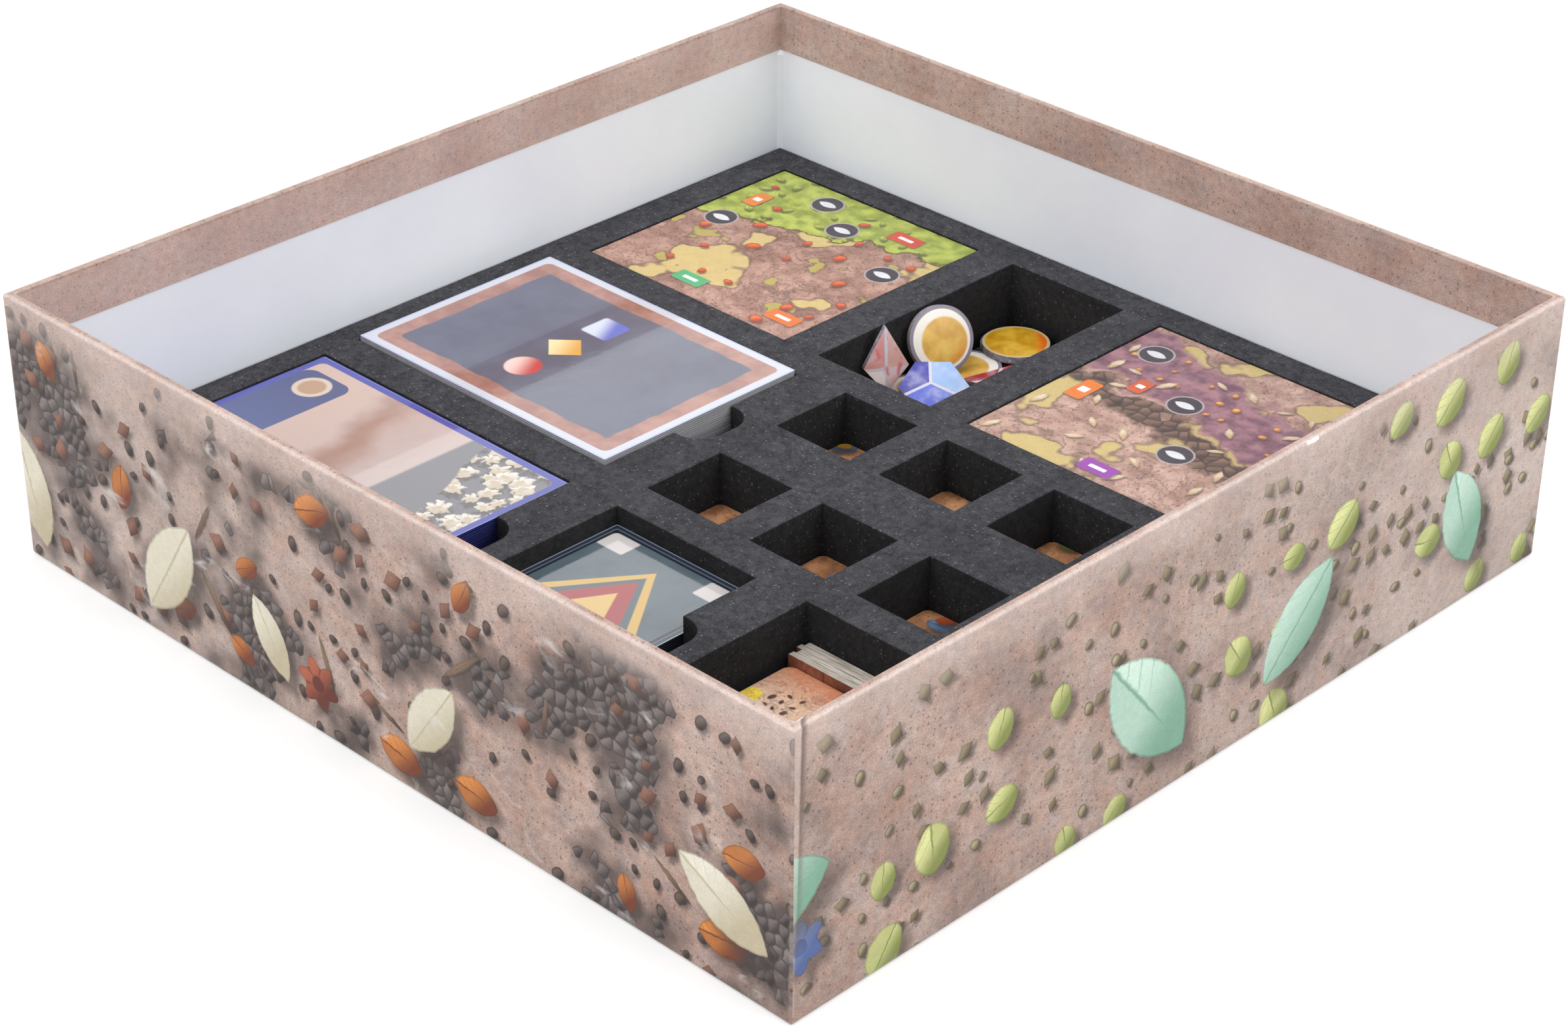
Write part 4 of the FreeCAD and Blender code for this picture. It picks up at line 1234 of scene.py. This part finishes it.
def paper_sink(wall, run, inset, height, low, high):
    """How far the paper lies inside its full size: gentle waves, and a step down beside the lapped corner."""
    if inset > RIM / 2 or not low + RIM_EDGE < height < high:
        return 0.0
    sink = PAPER_WAVE * (1 + noise.noise((run * WAVES_ALONG, height * WAVES_UP, wall)))
    past = run - lap_width(height, high)
    if wall == 0 and past > 0:
        sink += LAP_STEP * max(0.0, 1 - past / LAP_FADE)
    return sink


def rim_drop(wall, share, run, side):
    """How far the rim dips: gentle waves, a little at each corner, and a notch beside the lap."""
    from_corner = min(share, abs(1 - share)) * side
    drop = PAPER_WAVE * (1 + noise.noise((run * RIM_WAVES, wall, 1.0)))
    drop += CORNER_DIP * math.exp(-(from_corner / CORNER_DIP_WIDTH) ** 2)
    if wall == 0:
        drop += SEAM_NOTCH * math.exp(-((run - LAP_TOP - NOTCH_PAST_LAP) / NOTCH_WIDTH) ** 2)
    return drop


def make_wrap_finish(name, motifs, soot, turn_in_painted_light):
    """Printed art paper under a satin laminate."""
    def painted(face):
        paint_wrap(face, motifs, soot, turn_in_painted_light)
    return make_print(name, WRAP_PAPER, painted, flat_map=UNROLLED)


def make_wrap():
    """Printed paper round the walls, lapped at one corner and turned in over the rim."""
    low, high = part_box("side_wrap")[0].z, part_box("side_wrap")[1].z
    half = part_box("side_wrap")[1].x
    side = 2 * half
    outside, inside = wall_section(low, high)
    section = outside + inside
    lengths = [-(TURN_UNDER - RIM_EDGE)]
    for before, here in zip(section, section[1:]):
        lengths.append(lengths[-1] + math.dist(before, here))
    lengths.append(lengths[-1] + PAPER)
    stations = wall_stations(side)
    mesh = bmesh.new()
    rings, runs = [], []
    for row, (inset, height) in enumerate(section):
        ring, marks = [], []
        for wall, station in stations:
            share = share_at(station, height, high, side)
            run = min(share, 1.0) * side
            marks.append(wall * side + run)
            sink = drop = 0.0
            if row < len(outside):
                sink = paper_sink(wall, run, inset, height, low, high)
                if height > high - RIM_EDGE:
                    drop = rim_drop(wall, share, run, side)
            spot = station_point(wall, share, inset + sink, half)
            ring.append(mesh.verts.new((spot.x, spot.y, height - drop)))
        rings.append(ring)
        runs.append(marks + [4 * side])
    runs.append(runs[0])
    unrolled = mesh.loops.layers.uv.new(UNROLLED)
    for row, ring in enumerate(rings):
        above = rings[(row + 1) % len(rings)]
        for step in range(len(stations)):
            ahead = (step + 1) % len(stations)
            face = mesh.faces.new((ring[step], ring[ahead], above[ahead], above[step]))
            face.material_index = stations[step][0] // 2
            corners = ((step, row), (step + 1, row), (step + 1, row + 1), (step, row + 1))
            for loop, (along, up) in zip(face.loops, corners):
                loop[unrolled].uv = (runs[up][along], lengths[up])
    data = finished_mesh(mesh, "wrap_paper", 50)
    prints = [make_wrap_finish("printed_wrap_green", GREEN_MOTIFS, soot=0.15, turn_in_painted_light=0.15),
              make_wrap_finish("printed_wrap_warm", WARM_MOTIFS, soot=0.95, turn_in_painted_light=0.42)]
    settle(add_object("wrap_paper", data), prints, "box", "printed_wrap", "side_wrap")


def softened_copy(node, edge, angle, shrink=0.0):
    """A CAD node's shape as a merged bmesh, softened where it bends more than an angle in degrees."""
    mesh = bmesh.new()
    mesh.from_mesh(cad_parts[node].data)
    for layer in list(mesh.loops.layers.uv):
        mesh.loops.layers.uv.remove(layer)
    bmesh.ops.remove_doubles(mesh, verts=mesh.verts, dist=WELD)
    bmesh.ops.dissolve_limit(mesh, angle_limit=math.radians(0.5), verts=mesh.verts, edges=mesh.edges)
    bent = math.radians(angle)
    sharp = [line for line in mesh.edges if len(line.link_faces) == 2 and line.calc_face_angle() > bent]
    bmesh.ops.bevel(mesh, geom=sharp, offset=edge, segments=3, profile=0.5, affect="EDGES")
    for face in mesh.faces:
        face.material_index = 0
    if shrink:
        mesh.normal_update()
        for vert in mesh.verts:
            vert.co -= vert.normal * shrink
    return mesh


def make_boards():
    """Greyboard under the paper, its edges rounded with the rim.

    The base, the tapes and the sheet below keep their shapes.
    """
    greyboard = make_board_finish("greyboard", paint(150, 146, 138), paint(190, 184, 172), (0.4, 0.4, 2.0))
    for node in ("front_board", "back_board", "left_board", "right_board"):
        mesh = softened_copy(node, RIM_EDGE - PAPER, angle=60, shrink=BOARD_SHRINK)
        thing = add_object(node + "_rounded", finished_mesh(mesh, node + "_rounded"))
        settle(thing, [greyboard], "box", "greyboard", node)
    tape = make_board_finish("stay_tape", paint(176, 148, 112), paint(206, 182, 146), (0.8, 0.8, 0.2))
    bottom = make_print("bottom_paper", BOTTOM_PAPER, paint_sand)
    for node, finish in (("base_board", greyboard), ("corner_stays", tape), ("bottom_sheet", bottom)):
        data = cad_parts[node].data
        data.materials.clear()
        data.materials.append(finish)


def bridged_square(reach, bridge):
    """Square whose corners are cut across, counter-clockwise."""
    corners = []
    for number in range(4):
        turn = Matrix.Rotation(number * QUARTER, 2)
        corners += [turn @ Vector((reach, reach - bridge)), turn @ Vector((reach - bridge, reach))]
    return corners


def make_liner():
    """White paper on the floor and up the walls; in the corners it bridges the bend."""
    low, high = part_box("white_liner")
    outer = bridged_square(high.x, SHARPEST_CORNER)
    tucked = bridged_square(high.x - PAPER, SHARPEST_CORNER)
    inner = bridged_square(high.x - PAPER, LINER_BRIDGE)
    floor, turn_foot = low.z + PAPER, cad_high.z - TURN_IN
    rings = ((outer, low.z), (outer, high.z), (tucked, high.z), (tucked, turn_foot),
             (inner, turn_foot - LINER_BRIDGE), (inner, floor))
    mesh = bmesh.new()
    loops = [[mesh.verts.new((spot.x, spot.y, height)) for spot in outline] for outline, height in rings]
    for ring, above in zip(loops, loops[1:]):
        for step in range(len(ring)):
            ahead = (step + 1) % len(ring)
            mesh.faces.new((ring[step], ring[ahead], above[ahead], above[step]))
    mesh.faces.new(loops[0])
    mesh.faces.new(loops[-1])
    thing = add_object("liner_paper", finished_mesh(mesh, "liner_paper", 30))
    settle(thing, [make_print("white_paper", LINER_PAPER, paint_liner)], "box", "white_paper", "white_liner")


# Foam

def wobbled(corners, step, seed):
    """Closed outline with points every step, each moved a little aside, as foam is cut."""
    points = []
    for here, there in zip(corners, corners[1:] + corners[:1]):
        here, there = Vector(here).to_2d(), Vector(there).to_2d()
        number = max(1, round((there - here).length / step))
        for index in range(number):
            spot = here.lerp(there, index / number)
            stray = noise.noise_vector((spot.x * FOAM_WOBBLES, spot.y * FOAM_WOBBLES, seed))
            points.append(spot + stray.to_2d() * FOAM_WOBBLE)
    return points


def rectangle(low, high):
    return [(low[0], low[1]), (high[0], low[1]), (high[0], high[1]), (low[0], high[1])]


def scooped(low, high):
    """Card pocket with a round-cornered finger scoop in the middle of its right side."""
    edge = high[0]
    middle = (low[1] + high[1]) / 2
    half = FINGER_WIDTH / 2
    far = edge + FINGER_DEPTH
    scoop = [(edge, middle - half)]
    for sign, start in ((-1, -QUARTER), (1, 0.0)):
        x, y = far - FINGER_CORNER, middle + sign * (half - FINGER_CORNER)
        scoop.append((x + FINGER_CORNER * math.cos(start), y + FINGER_CORNER * math.sin(start)))
        scoop += arc((x, y), start, QUARTER, FINGER_CORNER, FINGER_STEPS)
    scoop.append((edge, middle + half))
    return [(low[0], low[1]), (edge, low[1]), *scoop, (edge, high[1]), (low[0], high[1])]


def pocket_outlines():
    """Each pocket's outline, from what lies in it."""
    def around(node, gap=POCKET_GAP):
        low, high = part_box(node)
        return (low.x - gap, low.y - gap), (high.x + gap, high.y + gap)

    outlines = [scooped(*around(deck)) for deck in CARD_COUNTS]
    outlines += [rectangle(*around(f"tile_stack_{number}")) for number in range(1, TILE_STACKS + 1)]
    outlines += [rectangle(*around(node)) for node in ("square_map_stack", "long_map_stack")]
    slab_low, slab_high = around("slab_stack", SLAB_PLAY)
    back = around("standing_strips")[1][1]
    outlines.append(rectangle((slab_low[0], slab_low[1] + SLAB_PLAY - POCKET_GAP), (slab_high[0], back)))
    coin_low, coin_high = around("bottom_coins", TOKEN_POCKET_GAP)
    map_low, map_high = around("square_map_stack")
    outlines.append(rectangle((coin_low[0], map_low[1]), (coin_high[0], map_high[1])))
    return outlines


def cut_sheet(name, loops, low, high):
    """Sheet of foam between two heights with soft edges; after its outline the loops are holes."""
    curve = bpy.data.curves.new(name, "CURVE")
    curve.dimensions = "2D"
    curve.fill_mode = "BOTH"
    curve.bevel_depth = FOAM_EDGE
    curve.bevel_resolution = 2
    curve.extrude = (high - low) / 2 - FOAM_EDGE
    curve.offset = -FOAM_EDGE
    for number, loop in enumerate(loops):
        points = wobbled(loop, FOAM_STEP, number)
        if number:
            points.reverse()
        spline = curve.splines.new("POLY")
        spline.points.add(len(points) - 1)
        for point, spot in zip(spline.points, points):
            point.co = (spot.x, spot.y, 0.0, 1.0)
        spline.use_cyclic_u = True
    drawn = add_object(name + "_outline", curve)
    data = plain_mesh(drawn)
    bpy.data.objects.remove(drawn)
    data.transform(Matrix.Translation((0, 0, (low + high) / 2)))
    mesh = bmesh.new()
    mesh.from_mesh(data)
    bmesh.ops.remove_doubles(mesh, verts=mesh.verts, dist=WELD)
    mesh.normal_update()
    # faces that stand upright take the second finish, painted darker as shade
    for face in mesh.faces:
        face.material_index = 0 if abs(face.normal.z) > 0.5 else 1
    return add_object(name, finished_mesh(mesh, name))


def make_foam():
    """Foam tray: a sheet cut through for the pockets, on a whole sheet."""
    skin = make_foam_finish("foam_skin", paint(46, 46, 49), paint(94, 94, 99), paint(164, 164, 170))
    # the cut sides have darker tones: painted shade on the pockets' walls
    cut = make_foam_finish("foam_cut_painted_shade", paint(32, 32, 33), paint(58, 58, 60), paint(128, 128, 134))
    sheets = (("foam_pockets", "foam_block", pocket_outlines()), ("foam_base", "foam_floor", []))
    for name, node, holes in sheets:
        low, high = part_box(node)
        sheet = cut_sheet(name, [rectangle(low, high), *holes], low.z, high.z)
        settle(sheet, [skin, cut], "foam_tray", "foam", node)


# Stacks: punched pieces set on points

TREE_INPUTS = {
    "NodeSocketFloat": ("Width", "Depth", "Thickness", "Corner", "Slip", "Turn", "Stand Up"),
    "NodeSocketInt": ("Corner Steps", "Seed", "First Printed"),
    "NodeSocketVector": ("Facing",),
    "NodeSocketMaterial": ("Print", "Cut Edge"),
}
LAYER = "layer"
TURN_SEED = 7.0
LOOKS_OUT = 0.9


def make_punched_tree():
    """Geometry nodes: one punched piece on each point of the mesh, a little askew, printed on its face."""
    tree = bpy.data.node_groups.new("Punched Pieces", "GeometryNodeTree")
    tree.interface.new_socket("Geometry", in_out="INPUT", socket_type="NodeSocketGeometry")
    for kind, names in TREE_INPUTS.items():
        for name in names:
            tree.interface.new_socket(name, in_out="INPUT", socket_type=kind)
    tree.interface.new_socket("Geometry", in_out="OUTPUT", socket_type="NodeSocketGeometry")
    web = Web(tree)
    given = web.node("NodeGroupInput").outputs

    def step(kind, geometry, inputs=None, **settings):
        """A node that works on the geometry that comes in first."""
        node = web.node("GeometryNode" + kind, inputs, **settings)
        tree.links.new(geometry, node.inputs[0])
        return node.outputs[0]

    # the punched outline, filled and given its thickness
    sides = {"Width": given["Width"], "Height": given["Depth"]}
    outline = web.node("GeometryNodeCurvePrimitiveQuadrilateral", sides).outputs[0]
    fillet = {"Radius": given["Corner"], "Count": given["Corner Steps"], "Limit Radius": True}
    face = step("FillCurve", step("FilletCurve", outline, fillet, mode="POLY"), mode="NGONS")
    print_map = {"Name": PRINT_UV, "Value": web.node("GeometryNodeInputPosition").outputs[0]}
    mapped = step("StoreNamedAttribute", face, print_map, data_type="FLOAT2", domain="CORNER")
    rise = {"Offset Scale": given["Thickness"], "Individual": False}
    shell = web.node("GeometryNodeJoinGeometry")
    tree.links.new(step("ExtrudeMesh", mapped, rise, mode="FACES"), shell.inputs[0])
    tree.links.new(step("FlipFaces", mapped), shell.inputs[0])
    piece = step("MergeByDistance", shell.outputs[0], {"Distance": 2 * WELD})

    # set on the points, each a little aside and turned
    slip, turn, seed = given["Slip"], given["Turn"], given["Seed"]
    back = web.math("MULTIPLY", slip, -1.0)
    between = {0: web.join(back, back), 1: web.join(slip, slip), "Seed": seed}
    aside = web.node("FunctionNodeRandomValue", between, data_type="FLOAT_VECTOR")
    moved = step("SetPosition", given["Geometry"], {"Offset": aside.outputs[0]})
    number = {"Name": LAYER, "Value": web.node("GeometryNodeInputIndex").outputs[0]}
    layered = step("StoreNamedAttribute", moved, number, data_type="INT", domain="POINT")
    between = {2: web.math("MULTIPLY", turn, -1.0), 3: turn, "Seed": web.math("ADD", seed, TURN_SEED)}
    skew = web.node("FunctionNodeRandomValue", between, data_type="FLOAT")
    angles = web.join(given["Stand Up"], 0.0, skew.outputs[1])
    rotation = web.node("FunctionNodeEulerToRotation", {"Euler": angles}).outputs[0]
    spread = step("InstanceOnPoints", layered, {"Instance": piece, "Rotation": rotation})
    solid = step("RealizeInstances", spread)

    # bare board all over, print on the faces that look out
    bare = step("SetMaterial", solid, {"Material": given["Cut Edge"]})
    layer = web.node("GeometryNodeInputNamedAttribute", {"Name": LAYER}, data_type="INT").outputs[0]
    looks = web.vector("DOT_PRODUCT", web.node("GeometryNodeInputNormal").outputs[0], given["Facing"])
    first = web.math("SUBTRACT", given["First Printed"], 0.5)
    shown = web.both(web.math("GREATER_THAN", looks, LOOKS_OUT), web.math("GREATER_THAN", layer, first))
    printed = step("SetMaterial", bare, {"Selection": shown, "Material": given["Print"]})
    tree.links.new(printed, web.node("NodeGroupOutput").inputs["Geometry"])
    return tree


PUNCHED = make_punched_tree()
PUNCHED_SOCKETS = {
    item.name: item.identifier for item in PUNCHED.interface.items_tree if item.in_out == "INPUT"}


def punched(name, places, body, slot, node, edge=0.0, facing=(0.0, 0.0, 1.0), **sizes):
    """Pieces of one shape at several places, as one plain mesh that stands for a node."""
    data = bpy.data.meshes.new(name)
    data.from_pydata(places, [], [])
    thing = add_object(name, data)
    modifier = thing.modifiers.new("Punched", "NODES")
    modifier.node_group = PUNCHED
    for label, setting in dict(sizes, facing=facing).items():
        modifier[PUNCHED_SOCKETS[label.replace("_", " ").title()]] = setting
    if edge:
        bevel = thing.modifiers.new("Edge", "BEVEL")
        bevel.width = edge
        bevel.segments = 2
        bevel.limit_method = "ANGLE"
        bevel.angle_limit = math.radians(60)
    mesh = plain_mesh(thing)
    thing.modifiers.clear()
    thing.data = mesh
    soften(mesh)
    return settle(thing, [], body, slot, node)


def pile(node, number):
    """Places of flat pieces that fill a node from its bottom to its top, and one piece's sizes."""
    low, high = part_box(node)
    thickness = (high.z - low.z) / number
    middle = (low + high) / 2
    places = [(middle.x, middle.y, low.z + index * thickness) for index in range(number)]
    return places, {"width": high.x - low.x, "depth": high.y - low.y, "thickness": thickness}


DECKS = {
    # node: body, slot, print, and the dark and light tone of its sides
    "blue_card_deck": ("blue_deck", "blue_cards", paint_blue_card, paint(26, 30, 84), paint(96, 104, 176)),
    "picture_card_deck": ("picture_deck", "picture_cards", paint_picture_card,
                          paint(150, 150, 154), paint(222, 222, 228)),
    "mini_card_deck": ("mini_deck", "mini_cards", paint_mini_card, paint(26, 28, 34), paint(104, 112, 122)),
}
MAPS = (
    ("square_map_stack", "square_maps", "square_map_print", paint_square_map),
    ("long_map_stack", "long_maps", "long_map_print", paint_long_map),
)


def make_decks():
    """Three decks of sleeved cards."""
    for seed, (node, count) in enumerate(CARD_COUNTS.items(), start=CARD_SEED):
        body, slot, painted, dark, light = DECKS[node]
        places, sizes = pile(node, count)
        side = make_card_edge_finish(node + "_side", dark, light, sizes["thickness"])
        top = make_print(node + "_print", SLEEVE, painted, node=node)
        punched(node + "_sleeved", places, body, slot, node, **sizes, **CARD_CUT, **CARD_SKEW, seed=seed,
                first_printed=count - 1, print=top, cut_edge=side)


def make_stacks():
    """Map boards, tiles and slabs, each a stack of punched board."""
    cut = make_board_finish("board_cut_edge", paint(120, 104, 90), paint(182, 168, 150), (0.35, 0.35, 2.2))
    board = {"edge": BOARD_EDGE, "cut_edge": cut}
    for seed, (node, body, slot, painted) in enumerate(MAPS, start=MAP_SEED):
        places, sizes = pile(node, MAP_COUNT)
        map_print = make_print(slot, BOARD_PRINT, painted, node=node)
        punched(node + "_boards", places, body, slot, node, **board, **sizes, **MAP_CUT, **MAP_SKEW,
                seed=seed, first_printed=MAP_COUNT - 1, print=map_print)
    tile_print = make_print("tile_print", BOARD_PRINT, paint_tile, node="tile_stack_1")
    for seed, number in enumerate(range(1, TILE_STACKS + 1), start=TILE_SEED):
        node = f"tile_stack_{number}"
        places, sizes = pile(node, TILE_COUNT)
        punched(node + "_tiles", places, f"tiles_{number}", "tile_print", node, **board, **sizes, **TILE_CUT,
                **TILE_SKEW, seed=seed, first_printed=0, print=tile_print)
    places, sizes = pile("slab_stack", SLAB_COUNT)
    slab_print = make_print("slab_print", BOARD_PRINT, paint_slab, node="slab_stack")
    punched("slab_stack_tiles", places, "slabs", "slab_print", "slab_stack", **board, **sizes, **SLAB_CUT,
            **SLAB_SKEW, seed=SLAB_SEED, first_printed=0, print=slab_print)


def make_strips():
    """Narrow tiles on edge, whose ends don't lie even."""
    low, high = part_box("standing_strips")
    thickness = (high.y - low.y) / STRIP_COUNT
    length = high.x - low.x - max(STRIP_SHIFTS) * STRIP_STEP
    middle_x, middle_z = low.x + length / 2, (low.z + high.z) / 2
    places = [(middle_x + shift * STRIP_STEP, low.y + (index + 1) * thickness, middle_z)
              for index, shift in enumerate(STRIP_SHIFTS)]
    fibres = make_board_finish("strip_cut_edge", paint(158, 149, 137), paint(230, 222, 211), (0.14, 2.2, 2.2))
    strip_print = make_print("strip_print", BOARD_PRINT, paint_strip, node="standing_strips")
    punched("standing_strip_tiles", places, "strips", "strip_board", "standing_strips", edge=BOARD_EDGE,
            facing=(0.0, -1.0, 0.0), width=length, depth=high.z - low.z - STRIP_EASE, thickness=thickness,
            **STRIP_CUT, stand_up=QUARTER, seed=STRIP_SEED, first_printed=0, print=strip_print,
            cut_edge=fibres)


def make_bottom_coins(coin_print, cut):
    """Coins that lie flat in the bottom of their pocket."""
    low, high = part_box("bottom_coins")
    amber_low, amber_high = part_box("amber_coin")
    diameter = amber_high.x - amber_low.x
    radius = diameter / 2
    thickness = (high.z - low.z) / COIN_LAYERS
    pitch_x = (high.x - low.x - diameter) / (COIN_COLUMNS - 1)
    pitch_y = (high.y - low.y - diameter) / (COIN_ROWS - 1)
    places = [(low.x + radius + column * pitch_x, low.y + radius + row * pitch_y, low.z + layer * thickness)
              for layer in range(COIN_LAYERS) for column in range(COIN_COLUMNS) for row in range(COIN_ROWS)]
    punched("bottom_coins_punched", places, "coins", "coin_print", "bottom_coins", edge=BOARD_EDGE,
            width=diameter, depth=diameter, thickness=thickness, corner=radius, corner_steps=COIN_STEPS,
            turn=COIN_TURN, seed=COIN_SEED, first_printed=0, print=coin_print, cut_edge=cut)


def make_token(node, body, slot, finish, cut):
    """Copy of a token's shape with softened edges, its faces mapped flat for the print.

    On the map, right is X and up is Y.
    """
    mesh = softened_copy(node, BOARD_EDGE, angle=50)
    broad = sorted(mesh.faces, key=lambda face: face.calc_area())[-2:]
    normal = max((face.normal.copy() for face in broad), key=lambda direction: direction.z)
    middle = sum((face.calc_center_median() for face in broad), Vector()) / len(broad)
    right = Vector((0, 0, 1)).cross(normal)
    right = right.normalized() if right.length > 0.01 else Vector((1, 0, 0))
    up = normal.cross(right)
    mapped = mesh.loops.layers.uv.new(PRINT_UV)
    for face in mesh.faces:
        face.material_index = 0 if abs(face.normal.dot(normal)) > LOOKS_OUT else 1
        for loop in face.loops:
            away = loop.vert.co - middle
            loop[mapped].uv = (away.dot(right), away.dot(up))
    thing = add_object(node + "_punched", finished_mesh(mesh, node + "_punched"))
    settle(thing, [finish, cut], body, slot, node)


LOOSE_TOKENS = (
    ("amber_coin", "amber", "amber_print", paint_amber),
    ("red_gem", "red", "red_print", paint_red_gem),
    ("blue_gem", "blue", "blue_print", paint_blue_gem),
    ("pink_crystal", "crystal", "pink_print", paint_pink_crystal),
)


def make_tokens():
    """Coins in the bottom of the token pocket, and the tokens that lie and lean on them."""
    cut = make_board_finish("token_cut_edge", paint(112, 104, 114), paint(166, 158, 166), (0.6, 0.6, 0.6))
    coin_print = make_print("coin_print", TOKEN_PRINT, paint_coin, flat_map=PRINT_UV)
    make_bottom_coins(coin_print, cut)
    make_token("leaning_coin", "leaning", "coin_print", coin_print, cut)
    for node, body, slot, painted in LOOSE_TOKENS:
        make_token(node, body, slot, make_print(slot, TOKEN_PRINT, painted, flat_map=PRINT_UV), cut)


# Stage, light and camera

WHITE = (1.0, 1.0, 1.0, 1.0)
WORLD_LEVEL = 0.42
FLOOR_TONE = 0.62
FLOOR_LIFT = 0.46
FLOOR_REACH = 5.0
FLOOR_GAP = 0.05 * MM
LAMPS = {
    # place, side of the square lamp, watts
    "right_softbox": ((1.3, 0.4, 0.85), 1.1, 12.5),
    "left_softbox": ((-0.15, -1.35, 0.85), 1.1, 12.0),
    "top_softbox": ((0.0, 0.0, 1.6), 1.2, 12.5),
    "back_softbox": ((-1.15, 1.15, 1.1), 1.5, 1.8),
}
CAMERA_PLACE = Vector((0.500206, -0.511545, 0.427492))
CAMERA_AZIMUTH = math.radians(44.366)
CAMERA_ELEVATION = math.radians(30.202)
CAMERA_ROLL = math.radians(0.396)
LENS, SENSOR = 79.21, 36.0


def seen_directly(web):
    """1 for what the camera sees, also in reflections and through clear things."""
    path = web.node("ShaderNodeLightPath").outputs
    seen = web.math("MAXIMUM", path["Is Camera Ray"], path["Is Glossy Ray"])
    return web.math("MAXIMUM", seen, path["Is Transmission Ray"])


def make_stage():
    """Plain pale floor and a white surround."""
    mesh = bmesh.new()
    bmesh.ops.create_grid(mesh, x_segments=1, y_segments=1, size=FLOOR_REACH)
    bmesh.ops.translate(mesh, verts=mesh.verts, vec=(0, 0, -FLOOR_GAP))
    data = bpy.data.meshes.new("studio_floor")
    mesh.to_mesh(data)
    mesh.free()
    material, web, shader = new_material("studio_floor")
    shader.inputs["Base Color"].default_value = (FLOOR_TONE, FLOOR_TONE, FLOOR_TONE, 1.0)
    shader.inputs["Roughness"].default_value = 1.0
    shader.inputs["Specular IOR Level"].default_value = 0.0
    shader.inputs["Emission Color"].default_value = WHITE
    web.feed(shader.inputs["Emission Strength"], web.math("MULTIPLY", seen_directly(web), FLOOR_LIFT))
    data.materials.append(material)
    add_object("studio_floor", data)
    world = bpy.data.worlds.new("studio")
    world.use_nodes = True
    bpy.context.scene.world = world
    web = Web(world.node_tree)
    sky = world.node_tree.nodes["Background"]
    sky.inputs["Color"].default_value = WHITE
    web.feed(sky.inputs["Strength"], web.ramp(seen_directly(web), 0.0, 1.0, low=WORLD_LEVEL))


def make_lamps():
    for name, (place, size, power) in LAMPS.items():
        lamp = bpy.data.lights.new(name, "AREA")
        lamp.shape = "SQUARE"
        lamp.size = size
        lamp.energy = power
        thing = add_object(name, lamp)
        thing.location = place
        thing.rotation_euler = (-Vector(place)).to_track_quat("-Z", "Y").to_euler()


def make_camera():
    """Camera at the photograph's place, with its direction, a slight roll and a long lens."""
    right = Vector((math.cos(CAMERA_AZIMUTH), math.sin(CAMERA_AZIMUTH), 0.0))
    level = math.cos(CAMERA_ELEVATION)
    back = Vector((right.y * level, -right.x * level, math.sin(CAMERA_ELEVATION)))
    aim = Matrix((right, back.cross(right), back)).transposed() @ Matrix.Rotation(CAMERA_ROLL, 3, "Z")
    lens = bpy.data.cameras.new("photo_camera")
    lens.sensor_width = SENSOR
    lens.lens = LENS
    camera = add_object("photo_camera", lens)
    camera.matrix_world = Matrix.Translation(CAMERA_PLACE) @ aim.to_4x4()
    bpy.context.scene.camera = camera


make_wrap()
make_boards()
make_liner()
make_foam()
make_decks()
make_stacks()
make_strips()
make_tokens()
make_stage()
make_lamps()
make_camera()
bpy.context.scene.view_settings.view_transform = "Standard"
